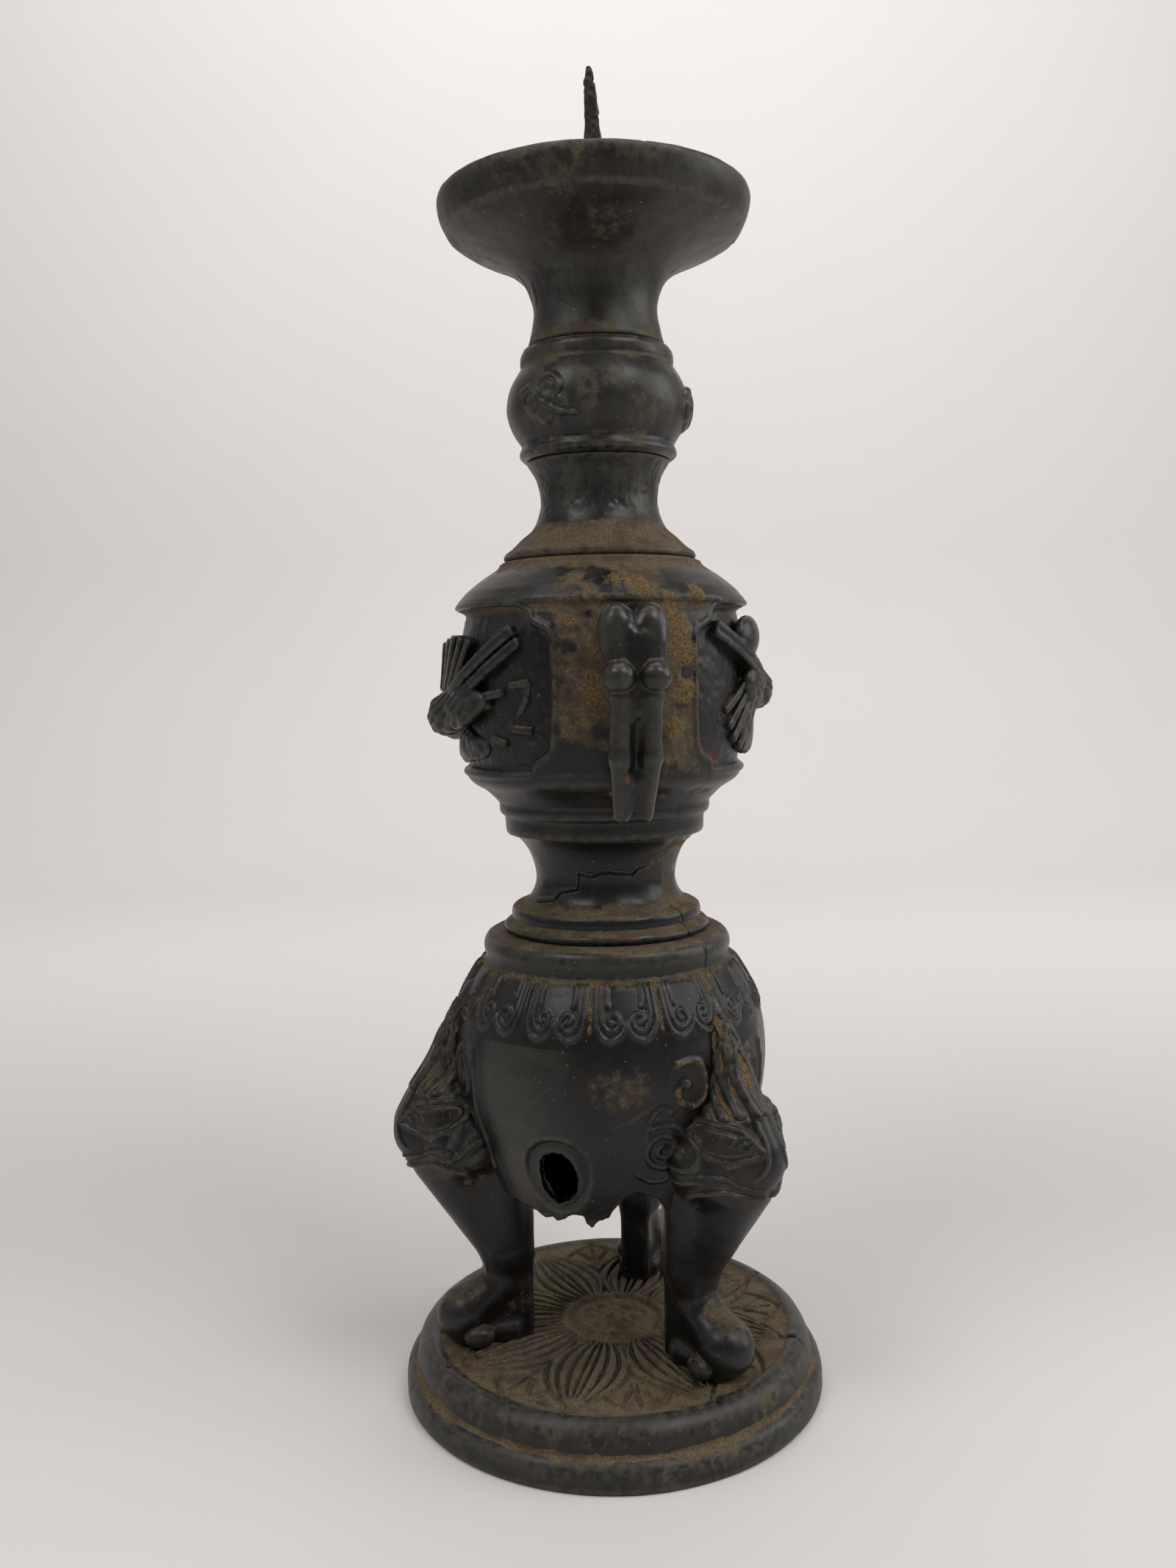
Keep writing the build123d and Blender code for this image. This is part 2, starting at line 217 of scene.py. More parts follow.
def solid(name, verts, faces):
    """A smooth-shaded object from millimetre points and faces, with its grooves marked, and its normals."""
    mesh = bpy.data.meshes.new(name)
    mesh.from_pydata((verts * MM).tolist(), [], faces.tolist())
    mesh.polygons.foreach_set("use_smooth", [True] * len(mesh.polygons))
    mesh.update()
    thing = add_object(name, mesh)
    normal = normals(verts, faces)
    mark(thing, fine=hollowness(verts, faces, normal, 4), wide=hollowness(verts, faces, normal, 24))
    return thing, normal


def mark(thing, **masks):
    """Stores named masks, one number per point, for the material to read."""
    for key, value in masks.items():
        layer = thing.data.attributes.new(key, "FLOAT", "POINT")
        layer.data.foreach_set("value", np.full(len(thing.data.vertices), value, np.float32))


def finish_piece(thing, body, node, slot, material, **masks):
    """Gives a piece its masks, its material and its place in the assembly."""
    mark(thing, **dict(dict.fromkeys(("dust", "ochre", "rust", "grey", "black", "crest"), 0), **masks))
    thing.data.materials.append(material)
    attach(thing, body)
    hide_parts(node)


def outline(start, *runs):
    """A closed (radius, height) outline of runs (step, point, point ...), smooth within a run and sharp
    between runs. A step of 0 goes on without leaving points."""
    out = []
    for step, *points in runs:
        fine = curve([start, *points], 12)
        start = points[-1]
        if step:
            length = np.concatenate([[0], np.cumsum(np.hypot(*np.diff(fine, axis=0).T))])
            at = np.linspace(0, length[-1], max(1, round(length[-1] / step)) + 1)[:-1]
            out.append(np.stack([np.interp(at, length, fine[:, k]) for k in (0, 1)], 1))
    return np.vstack(out)


def soften(path, rounds=1):
    """Rounds the corners of an outline, as wear and casting do."""
    for _ in range(rounds):
        path = (np.roll(path, 1, 0) + 2 * path + np.roll(path, -1, 0)) / 4
    return path


def upright(angle, radius, height):
    return np.stack([radius * np.cos(angle), radius * np.sin(angle), height], -1)


def turned(path, around, shift, warp=None):
    """Points and faces of a turned solid. path runs anticlockwise in (radius, height), closed on itself.
    warp(angle, r, z) bends the grid first, then shift(angle, r, z, points) gives how far each point moves
    out along the outline's normal."""
    tangent = np.roll(path, -1, 0) - np.roll(path, 1, 0)
    tangent /= np.maximum(np.linalg.norm(tangent, axis=1), 1e-9)[:, None]
    steps = np.linspace(0, 2 * math.pi, around, endpoint=False)
    angle, radius = np.meshgrid(steps, path[:, 0], indexing="ij")
    height = np.tile(path[:, 1], (around, 1))
    if warp:
        radius, height = warp(angle, radius, height)
    move = shift(angle, radius, height, upright(angle, radius, height))
    verts = upright(angle, radius + move * tangent[:, 1], height - move * tangent[:, 0]).reshape(-1, 3)
    grid = np.arange(len(verts)).reshape(around, -1)
    after = np.roll(grid, -1, 0)
    return verts, np.stack([grid, after, np.roll(after, -1, 1), np.roll(grid, -1, 1)], -1).reshape(-1, 4)


def polar(verts):
    """Angle, radius and height of points."""
    return np.arctan2(verts[..., 1], verts[..., 0]), np.hypot(verts[..., 0], verts[..., 1]), verts[..., 2]


def turned_piece(name, path, around, shift, rounds=1, top=TIP):
    """A turned casting: its object, points, normals, angles, radii and heights."""
    verts, faces = turned(soften(path, rounds), around, shift)
    verts[:, 2] = np.clip(verts[:, 2], 0, top)
    thing, normal = solid(name, verts, faces)
    return thing, verts, normal, *polar(verts)


def gradient(distance, points, reach=0.05):
    """Unit direction in which a distance field grows."""
    slope = np.stack([distance(points + reach * e) - distance(points - reach * e) for e in np.eye(3)], 1)
    return slope / np.maximum(np.linalg.norm(slope, axis=1), 1e-9)[:, None]


def skin(distance, lowest, highest, cell):
    """Points and faces of the surface where distance(points) is zero, negative inside (surface nets)."""
    start = np.array(lowest, float)
    count = np.ceil((np.array(highest) - start) / cell).astype(int) + 1
    values = np.empty(count, np.float32)
    rows = np.argwhere(np.ones(count[1:], bool)) * cell + start[1:]
    for i in range(count[0]):
        values[i] = distance(np.insert(rows, 0, start[0] + cell * i, 1)).reshape(count[1:])
    inside = values < 0
    x, y, z = count - 1
    full = sum(inside[a : x + a, b : y + b, c : z + c].astype(int) for a, b, c in np.ndindex(2, 2, 2))
    mixed = (full > 0) & (full < 8)
    number = np.full(mixed.shape, -1)
    number[mixed] = np.arange(mixed.sum())
    cells = np.argwhere(mixed)
    total, hits = np.zeros((len(cells), 3)), np.zeros(len(cells))
    faces = []
    for axis in range(3):
        unit, u, w = np.roll(np.eye(3, dtype=int), -axis, 0)
        for b, c in np.ndindex(2, 2):
            foot = cells + b * u + c * w
            v0, v1 = values[tuple(foot.T)], values[tuple((foot + unit).T)]
            cross = (v0 < 0) != (v1 < 0)
            t = v0[cross] / (v0[cross] - v1[cross])
            total[cross] += foot[cross] + t[:, None] * unit
            hits[cross] += 1
        first = np.take(inside, np.arange(count[axis] - 1), axis)
        edge = np.argwhere(first != np.take(inside, np.arange(1, count[axis]), axis))
        edge = edge[(((edge > 0) & (edge < count - 1)) | (unit > 0)).all(1)]
        corners = [(edge - s * u - t * w).T for s, t in ((1, 1), (0, 1), (0, 0), (1, 0))]
        quad = np.stack([number[tuple(corner)] for corner in corners], 1)
        faces.append(np.where(first[tuple(edge.T)][:, None], quad, quad[:, ::-1]))
    verts = start + cell * total / hits[:, None]
    for _ in range(2):
        verts = verts - np.clip(distance(verts), -cell, cell)[:, None] * gradient(distance, verts)
    return verts, np.vstack(faces)


# ---- distance fields
def limb(p, a, b, ra, rb):
    """A rod from a to b whose radius goes from ra to rb."""
    a, d = np.array(a, float), np.array(b, float) - np.array(a, float)
    t = np.clip((p - a) @ d / (d @ d), 0, 1)
    return np.linalg.norm(p - a - t[:, None] * d, axis=1) - ra - t * (rb - ra)


def blob(p, centre, radii):
    """An ellipsoid."""
    q = (p - np.array(centre)) / np.array(radii, float)
    k = np.linalg.norm(q, axis=1)
    return k * (k - 1) / np.maximum(np.linalg.norm(q / np.array(radii, float), axis=1), 1e-9)


def rounded(gaps, rounding):
    """Distance to a rounded box from the distances outside its three pairs of faces."""
    gaps = gaps + rounding
    return np.linalg.norm(np.maximum(gaps, 0), axis=1) + np.minimum(gaps.max(1), 0) - rounding


def block(p, centre, half, rounding):
    """A box with rounded edges."""
    return rounded(np.abs(p - np.array(centre)) - np.array(half, float), rounding)


def join(first, *more):
    """Union of one field with others, each given with the softness of its fillet."""
    for field, soft in more:
        h = np.maximum(soft - np.abs(first - field), 0) / soft
        first = np.minimum(first, field) - h * h * soft / 4
    return first


def turn(p, angle):
    """Points turned about +Z by an angle in radians."""
    c, s = math.cos(angle), math.sin(angle)
    return p @ np.array([(c, s, 0), (-s, c, 0), (0, 0, 1)])


def folded(p):
    """Points with their Y made positive, so that a field made there lies on both sides."""
    return np.stack([p[:, 0], np.abs(p[:, 1]), p[:, 2]], 1)


# ---- materials
class Wire:
    """A number in a node tree, which can be added, subtracted and multiplied."""

    def __init__(self, nodes, socket):
        self.nodes, self.socket = nodes, socket

    def __add__(self, other):
        return self.nodes.math("ADD", self, other)

    def __sub__(self, other):
        return self.nodes.math("SUBTRACT", self, other)

    def __mul__(self, other):
        return self.nodes.math("MULTIPLY", self, other)

    def __rsub__(self, other):
        return self.nodes.math("SUBTRACT", other, self)

    def larger(self, other):
        return self.nodes.math("MAXIMUM", self, other)

    def step(self, lo, hi):
        """Smooth 0 to 1 as the number goes from lo to hi."""
        given = {"Value": self, "From Min": lo, "From Max": hi}
        return self.nodes.add("MapRange", "Result", given, interpolation_type="SMOOTHSTEP")


class Nodes:
    """A short way to write a node tree."""

    def __init__(self, name, roughness=0.5):
        self.material = bpy.data.materials.new(name)
        self.material.use_nodes = True
        self.tree = self.material.node_tree
        self.shader = self.tree.nodes["Principled BSDF"]
        self.shader.inputs["Roughness"].default_value = roughness
        self.place = self.add("TexCoord", "Object", {})

    def link(self, source, target):
        """Joins a wire, a number or a colour to an input."""
        if isinstance(source, Wire):
            self.tree.links.new(source.socket, target)
        else:
            target.default_value = (*source, 1) if target.type == "RGBA" else source

    def add(self, kind, output, given, **settings):
        """Adds a node with the given inputs and settings, and returns one of its outputs."""
        node = self.tree.nodes.new("ShaderNode" + kind)
        for name, value in settings.items():
            setattr(node, name, value)
        for name, value in given.items():
            self.link(value, node.inputs[name])
        return Wire(self, node.outputs[output])

    def math(self, kind, a, b, clamp=False):
        return self.add("Math", 0, {0: a, 1: b}, operation=kind, use_clamp=clamp)

    def mask(self, name):
        """A number stored on the mesh's points."""
        return self.add("Attribute", "Fac", {}, attribute_name=name)

    def grain(self, size, detail=5.0, rough=0.6, stretch=(1, 1, 1)):
        """Noise with features of the given size in millimetres."""
        place = self.add("Mapping", "Vector", {"Vector": self.place, "Scale": stretch})
        given = {"Vector": place, "Scale": 1 / (size * MM), "Detail": detail, "Roughness": rough}
        return self.add("TexNoise", "Fac", given)

    def mix(self, share, a, b):
        """Colour a to colour b by share."""
        return self.add("Mix", "Result", {"Factor": share, "A": a, "B": b}, data_type="RGBA")

    def colour(self, colour):
        self.link(colour, self.shader.inputs["Base Color"])

    def roughen(self, height, strength, distance):
        """Fine unevenness of the surface, its depth in millimetres."""
        given = {"Strength": strength, "Distance": distance * MM, "Height": height}
        self.link(self.add("Bump", "Normal", given), self.shader.inputs["Normal"])


DUST = (0.140, 0.106, 0.058)
DIRT = (0.075, 0.047, 0.025)
OCHRE = (0.185, 0.115, 0.042)
RUST = (0.16, 0.070, 0.028)
BLACK = (0.0052, 0.0050, 0.0052)
SOOT = (0.0085, 0.0068, 0.0058)
UMBER = (0.0155, 0.0118, 0.0088)
GREY = (0.0290, 0.0275, 0.0225)
# colour of worn metal, also used for painted highlights
WORN_AND_HIGHLIGHT = (0.060, 0.057, 0.048)
FLECK = (0.22, 0.21, 0.19)


def shaded(colour, factor):
    return tuple(c * factor for c in colour)


def patina(name, ground=BLACK, dust=0.85, gloss=0.36, pits=1.0, streaks=0.0, worn=0.7, hollows=0.8):
    """Old bronze: dark skin, worn crests and painted highlights, dust in hollows, and grey, ochre and rust
    where painted so.
    """
    n = Nodes(name)
    broad, cloudy, fleck, speck = n.grain(24.0, 3.0, 0.5), n.grain(7.0), n.grain(1.6), n.grain(0.45, 3.0)
    away = n.math("SUBTRACT", 1.0, n.mask("black"), True)
    colour = n.mix((cloudy + (broad - 0.5)).step(0.40, 0.66) * away, ground, UMBER)
    sheen = n.mask("grey") * (fleck.step(0.25, 0.6) * 0.25 + 0.75) * broad.step(0.15, 0.5)
    colour = n.mix(sheen, colour, n.mix(cloudy.step(0.4, 0.6), shaded(GREY, 0.8), shaded(GREY, 1.1)))
    if streaks:
        run = n.grain(3.0, 4.0, 0.6, (1, 1, 0.16))
        colour = n.mix(run.step(0.48, 0.62) * streaks, colour, SOOT)
        colour = n.mix(run.step(0.45, 0.36) * (streaks * 0.6), colour, WORN_AND_HIGHLIGHT)
    # bare metal on convex edges and worn crests, and painted highlights where the crest mask carries them
    bare_and_highlit = (n.mask("fine") * -1.0).step(0.010, 0.055).larger(n.mask("crest")) * (1.0 - n.mask("black") * 0.5)
    colour = n.mix(bare_and_highlit * fleck.step(0.30, 0.62) * worn, colour, WORN_AND_HIGHLIGHT)
    ragged = (fleck - 0.5) * 1.3 + (cloudy - 0.5)
    load = n.mask("dust") + n.mask("wide").step(0.03, 0.16) * away * hollows + ragged
    cover = load.step(0.35, 0.95) * dust
    dusty = n.mix(speck.step(0.35, 0.65), shaded(DUST, 0.6), shaded(DUST, 1.15))
    colour = n.mix(cover, colour, n.mix(n.grain(4.5, 4.0).step(0.46, 0.60) * 0.8, dusty, DIRT))
    broken = ragged + (speck - 0.5) * 0.4
    ochre = (n.mask("ochre") + broken * 0.9).step(0.40, 0.72)
    colour = n.mix(ochre * 0.92, colour, n.mix(speck.step(0.38, 0.62), shaded(OCHRE, 0.35), OCHRE))
    rust = (n.mask("rust") + broken * 0.6).step(0.45, 0.8)
    colour = n.mix(rust * 0.85, colour, n.mix(fleck.step(0.35, 0.6), shaded(RUST, 0.35), RUST))
    n.colour(n.mix(n.grain(0.7, 1.0).step(0.755, 0.77) * 0.6, colour, FLECK))
    matte = cover.larger(ochre * 0.85).larger(rust)
    polish = (fleck + cloudy - 1.0) * 0.22 + gloss
    n.link((1.0 - matte) * polish + matte * 0.88, n.shader.inputs["Roughness"])
    n.shader.inputs["Specular IOR Level"].default_value = 0.38
    crust = cover.larger(ochre) * n.grain(0.3, 4.0) * 1.6
    n.roughen(speck * 0.5 + fleck * 0.5 + crust, 0.25 * pits, 0.25)
    return n.material


# ---- base plate
PETAL_PITCH = 2 * math.pi / 8
FIRST_PETAL = math.radians(-28)
FLUTES = ((1.0, 1.1), (0.70, 1.15), (0.38, 1.1), (0.10, 0.9))
BEHIND = (
    (curve([(28.6, 6.6), (32.0, 4.2), (35.2, 0.0)], 10), 1.2),
    (curve([(27.6, 1.2), (29.8, 2.3), (32.2, 3.9)], 10), 1.5, 0.5),
    (curve([(25.0, 0), (33.0, 0)]), 1.5, 0.4),
)
POD_R = 8.0
SEEDS = [(0, 0)] + [(4.7 * math.cos(a), 4.7 * math.sin(a)) for a in np.radians(range(12, 372, 60))]


def in_petal(rho, phi, first):
    """Distances along and across the axis of the nearest petal."""
    fold = (phi - first) % PETAL_PITCH - PETAL_PITCH / 2
    return rho * np.cos(fold), np.abs(rho * np.sin(fold))


def lotus(x, y):
    """Height of the lotus relief on the plate's top, around the field's level, and its grooves (0 to 1)."""
    rho, phi = np.hypot(x, y), np.arctan2(y, x)
    along, across = in_petal(rho, phi, FIRST_PETAL - PETAL_PITCH / 2)
    share = np.clip((along - 8.4) / 26.0, 0, 1)
    half = 8.0 * np.sin(math.pi * share**0.9) ** 0.8 + 1e-3
    inside = ease(half - across, -0.3, 0.9) * ease(share, 0.0, 0.05) * (1 - ease(share, 0.97, 1.0))
    height = 0.5 * inside * (1 - 0.4 * (across / half) ** 2)
    # the petal's edge goes on to its tip; the flutes beside its middle rib fade out
    fade = ease(share, 0.03, 0.16) * (1 - ease(share, 0.80, 0.95))
    grooves = np.zeros_like(rho)
    for place, width in FLUTES:
        stroke = np.clip(1 - ((across - place * half) / (0.5 * width)) ** 2, 0, 1)
        grooves = np.maximum(grooves, stroke * (np.maximum(fade, share > 0.5) if place == 1.0 else fade))
    # the tips of the petals behind show between
    tips = strokes(*in_petal(rho, phi, FIRST_PETAL), BEHIND)
    grooves = np.maximum(grooves, tips * (1 - inside))
    height += 0.8 * (1 - ease(rho, POD_R - 1.4, POD_R + 0.6)) - 0.3 * hump(rho, POD_R + 1.0, 0.6)
    height += 0.25 * hump(rho, POD_R + 2.3, 0.5)
    for seed_x, seed_y in SEEDS:
        gap = np.hypot(x - seed_x, y - seed_y)
        height += 0.35 * hump(gap, 0, 0.95) - 0.3 * hump(gap, 1.6, 0.45)
    return height - 0.75 * grooves + 0.22 * ease(rho, 35.4, 36.6), grooves


def base_plate():
    field = PLATE_TOP - 0.22
    path = outline(
        (0.03, PLATE_TOP - 2.2),
        (3.0, (36.4, PLATE_TOP - 2.2)),
        (1.0, (38.6, 6.4)),
        (1.5, (40.3, 0.0)),
        (0.8, (PLATE_R - 0.1, 0.0)),
        (0.42, (PLATE_R, 1.0), (PLATE_R - 0.02, 2.6), (42.2, 4.2), (41.4, 5.1)),
        (0.3, (40.5, 5.5), (40.4, 6.2)),
        (0.42, (40.1, 8.0), (39.4, 9.7), (37.9, PLATE_TOP), (36.4, PLATE_TOP + 0.02)),
        (0.4, (35.4, field)),
        (0.4, (0.03, field)),
        (1.1, (0.03, PLATE_TOP - 2.2)),
    )

    def shift(angle, r, z, points):
        relief = np.where((z > PLATE_TOP - 1.2) & (r < 37.6), lotus(points[..., 0], points[..., 1])[0], 0)
        waves = casting_waves(points, 11, 0.16) * (r > 1) * (z >= 0.4)
        return relief + waves - 0.35 * patches(points, 5.0, 12, 0.42, 0.8, 3) * (r > 38) * (z > 0.8)

    thing, verts, normal, angle, r, z = turned_piece("base_plate", path, 640, shift)
    ledge = hump(r, 40.8, 0.7) * (z > 4.4) * (z < 6.6)
    top = ease(z, PLATE_TOP - 1.0, PLATE_TOP - 0.4)
    grooves = lotus(verts[:, 0], verts[:, 1])[1]
    # Less dust on the rim and in patches; the lotus grooves are kept bare of dust as painted shade.
    swept_and_shaded = 0.75 * ease(r, 34.6, 37.4) + 0.25 * patches(verts, 14.0, 15, 0.15, 0.5, 3) + 0.85 * grooves
    finish_piece(
        thing, STAND, "base_plate", "plate_bronze", patina("plate_patina", dust=0.95, gloss=0.42),
        dust=top * (1.05 - swept_and_shaded) + 0.6 * ledge + 0.5 * (1 - top) * patches(verts, 5.0, 19, -0.2, 0.4, 3),
        ochre=0.55 * ledge * (0.4 + 0.6 * patches(verts, 8.0, 16, -0.35, 0.25, 3)),
        rust=0.4 * patches(verts, 4.0, 18, -0.1, 0.5, 3) * (r > 36) * (z < 11.8),
        grey=0.12 + 0.3 * patches(verts, 6, 17, 0.1, 0.6) + 0.25 * hump(r, 38.6, 1.0),
        # painted shade: the lotus grooves are made darker
        black=top * (0.3 + 0.7 * grooves),
    )


# ---- pedestal
WAIST_R = 14.2
# line of the crack round the waist: angle in degrees, height
CRACK = [(66.9, 111.8), (67.4, 111.1), (39.5, 111.1), (33.8, 109.2), (22.9, 108.0), (20.0, 107.2),
         (10.5, 106.5),
         (6.8, 105.5), (-14.9, 106.3), (-24.8, 105.3), (-34.7, 105.9), (-36.5, 102.8), (-51.3, 102.0),
         (-56.9, 100.5), (-65.3, 100.1), (-74.3, 99.8)]


def crack(angle, z, width):
    line = np.array(CRACK) * (math.radians(1) * WAIST_R, 1)
    return ridge(apart(angle, 0) * WAIST_R, z, line, width, 0.5)


def pedestal():
    foot, head = TRIPOD_TOP, VASE_FOOT
    path = outline(
        (10.0, foot - 2.8),
        (1.1, (12.2, foot - 2.8)),
        (1.4, (12.2, foot)),
        (1.2, (20.2, foot)),
        (0.2, (20.6, foot + 1.0), (19.9, foot + 1.9), (18.9, foot + 2.4)),
        (0.2, (19.05, foot + 3.4), (18.8, foot + 4.6), (17.9, foot + 5.2)),
        (0.2, (16.4, foot + 5.6), (14.7, foot + 7.6), (13.9, foot + 10.6), (14.6, foot + 14.2),
         (16.2, foot + 17.4), (18.2, head)),
        (1.2, (12.2, head)),
        (1.4, (12.2, head + 4.2)),
        (1.1, (10.0, head + 4.2)),
        (2.0, (10.0, foot - 2.8)),
    )

    def shift(angle, r, z, points):
        seam = hump(apart(angle, math.radians(36.5)) * r, 0, 0.22) * (z < foot + 6)
        sunk = 0.6 * crack(angle, z, 0.75) - 0.15 * crack(angle, z - 0.6, 1.4)
        seen = (r > 13) & (z > foot + 0.2) & (z < head - 0.1)
        return (casting_waves(points, 21, 0.14) - sunk - 0.4 * seam) * seen

    thing, verts, normal, angle, r, z = turned_piece("pedestal", path, 620, shift)
    up = ease(normal[:, 2], 0.3, 0.9) * (r > 13)
    right_side = hump(apart(angle, math.radians(46)), 0, 0.30, 4) * (r > 13) * (z > foot + 5)
    finish_piece(
        thing, STAND, "pedestal", "pedestal_bronze", patina("pedestal_patina", dust=0.9, gloss=0.34,
                                                            pits=0.7),
        dust=up + 0.7 * right_side * patches(verts * (1, 1, 0.35), 1.6, 22, -0.35, 0.35),
        ochre=0.5 * up * patches(verts, 5, 23, 0, 0.6) + 0.7 * crack(angle, z + 0.3, 2.2) * (angle > 0.35)
        + 0.45 * right_side * patches(verts * (1, 1, 0.5), 2.2, 24, 0.0, 0.5),
        black=0.7 * crack(angle, z, 0.9) + 0.6 * (z > foot + 6) * (1 - right_side),
        crest=0.6 * crack(angle, z - 0.5, 0.9),
    )


# ---- camera and studio
AWAY = Vector((-math.cos(VIEW_FROM), -math.sin(VIEW_FROM), 0))
SIDE = Vector((-math.sin(VIEW_FROM), math.cos(VIEW_FROM), 0))
UP = Vector((0, 0, 1))
# name, watts, tint, size, place (aside, away, up) and the point that it faces, in metres
LAMPS = (
    ("paper_panel", 8.8, (1.0, 0.965, 0.975), 0.8, (0.0, 0.1, 1.2), AWAY * 0.87 + UP * 0.85),
    ("right_panel", 3.0, (1.0, 0.985, 0.96), 0.6, (0.9, 0.0, 0.5), UP * 0.18),
    ("left_panel", 0.5, (1.0, 1.0, 1.0), 0.6, (-0.9, -0.1, 0.5), UP * 0.18),
    ("front_left_panel", 2.5, (1.0, 0.965, 0.93), 0.4, (-0.5, -0.45, 0.9), UP * 0.12),
    ("front_right_panel", 3.2, (1.0, 0.965, 0.93), 0.4, (0.5, -0.45, 0.9), UP * 0.12),
)


def camera():
    """The point of view: one object height away, a little above the middle, tipped down and rolled."""
    distance, aside, height = 259.0, -3.2, 144.1
    tip, roll = math.radians(4.84), -0.01915
    forward = AWAY * math.cos(tip) - UP * math.sin(tip)
    up = AWAY * math.sin(tip) + UP * math.cos(tip)
    data = bpy.data.cameras.new("camera")
    data.sensor_width = 36.0
    data.lens = 29.784
    data.clip_start, data.clip_end = 0.01, 20
    right = SIDE * math.cos(roll) + up * math.sin(roll)
    up = up * math.cos(roll) - SIDE * math.sin(roll)
    matrix = Matrix((right, up, -forward)).transposed().to_4x4()
    matrix.translation = (SIDE * aside - AWAY * distance + UP * height) * MM
    thing = add_object("camera", data)
    thing.matrix_world = matrix
    bpy.context.scene.camera = thing


def paper():
    """Pale seamless paper, a little darker in a band just behind the object."""
    reach, bend, top, half_width = 0.62, 0.25, 1.5, 2.2
    turns = np.linspace(0, math.pi / 2, 25)
    sweep = [(reach + bend * math.sin(a), bend - bend * math.cos(a)) for a in turns]
    sweep = [(-2.0, 0.0)] + sweep + [(reach + bend, top)]
    verts = [AWAY * d + SIDE * s + UP * (h - 0.00005) for d, h in sweep for s in (-half_width, half_width)]
    faces = [(2 * k, 2 * k + 1, 2 * k + 3, 2 * k + 2) for k in range(len(sweep) - 1)]
    mesh = bpy.data.meshes.new("paper")
    mesh.from_pydata(verts, [], faces)
    mesh.polygons.foreach_set("use_smooth", [True] * len(faces))
    n = Nodes("paper", 0.85)
    tone = n.mix(n.grain(220, 3.0, 0.5), (0.715, 0.70, 0.685), (0.755, 0.74, 0.725))
    depth = n.add("VectorMath", "Value", {0: n.place, 1: AWAY}, operation="DOT_PRODUCT")
    shade = depth.step(-0.03, 0.08) * (1.0 - depth.step(0.08, 0.45))
    n.colour(n.mix(shade, tone, (0.60, 0.585, 0.565)))
    n.shader.inputs["Specular IOR Level"].default_value = 0.2
    mesh.materials.append(n.material)
    add_object("paper", mesh)


def studio():
    """A soft light on the paper from above, panels in front and at the sides, and a dim air."""
    world = bpy.data.worlds.new("air")
    world.use_nodes = True
    background = world.node_tree.nodes["Background"]
    background.inputs["Color"].default_value = (1.0, 0.98, 1.0, 1)
    background.inputs["Strength"].default_value = 0.19
    bpy.context.scene.world = world
    for name, power, tint, size, where, aim in LAMPS:
        lamp = bpy.data.lights.new(name, "AREA")
        lamp.shape, lamp.size, lamp.energy, lamp.color = "SQUARE", size, power, tint
        thing = add_object(name, lamp)
        thing.location = SIDE * where[0] + AWAY * where[1] + UP * where[2]
        thing.rotation_mode = "QUATERNION"
        thing.rotation_quaternion = (aim - thing.location).to_track_quat("-Z", "Y")
    bpy.context.scene.view_settings.view_transform = "Standard"


# ---- tripod body: the bell
BELL_WALL = curve([(23.2, 41.5), (27, 50), (30.6, 60), (31.6, 70), (30.2, 79), (26.6, 85.8),
                   (25.0, 87.6)], 16)
# height of the broken lower rim, by angle in degrees: a bite and two teeth under the hole, arches by the legs
RIM = [(-90, 44), (-53, 42.0), (-47, 40.9), (-43, 41.3), (-40.5, 40.5), (-36, 41.6), (-34.4, 42.3),
       (-30, 42.8),
       (-26.6, 42.5), (-25.7, 40.9), (-23.3, 40.2), (-19.2, 41.6), (-15.1, 42.3), (-12.4, 44.4), (-8.8, 46.8),
       (-2.8, 47.9), (6.6, 46.4), (12.8, 43), (30, 43), (50, 43.2), (60, 46.2), (72, 45.0), (90, 42.7),
       (106, 43.0),
       (120, 46.2), (132, 43.2), (150, 43), (170, 43.4), (180, 46.4), (193, 44.4), (210, 42.6), (226, 43.4),
       (240, 46.6), (252, 44), (270, 44)]
HOLE_ANGLE, HOLE_Z = math.radians(-35.4), 50.6
HOLE_R = 27.5
LAPPET_PITCH = 2 * math.pi / 14
FIRST_GAP = math.radians(-20.2)
# one lappet's strokes, across and height: its two-lobed edge, a scroll in each lobe, and a stem
LAPPET = (
    (curve([(-5.7, 88), (-5.75, 82.6), (-5.5, 80.4), (-4.6, 78.6), (-3.2, 77.8), (-1.7, 78.3), (-0.6, 79.4),
            (0, 80.8)], 5), 1.05),
    (curve([(-4.6, 87.4), (-4.65, 83.0), (-4.4, 81.0), (-3.6, 79.7), (-2.5, 79.4), (-1.5, 80.1), (-1.3, 81.3),
            (-2.0, 82.3), (-3.0, 82.1), (-3.2, 81.2), (-2.5, 80.8)], 5), 0.85),
    (curve([(-3.5, 87.2), (-3.6, 84.6), (-3.3, 83.4)], 5), 0.75),
)
HOOK = curve([(-11.4, 73.2), (-8.4, 73.6), (-6.2, 72.6), (-5.4, 69.4), (-6.0, 66.4), (-8.4, 65.1),
              (-10.8, 66.6),
              (-11.2, 68.6), (-10.2, 69.8), (-9.1, 69.3)])
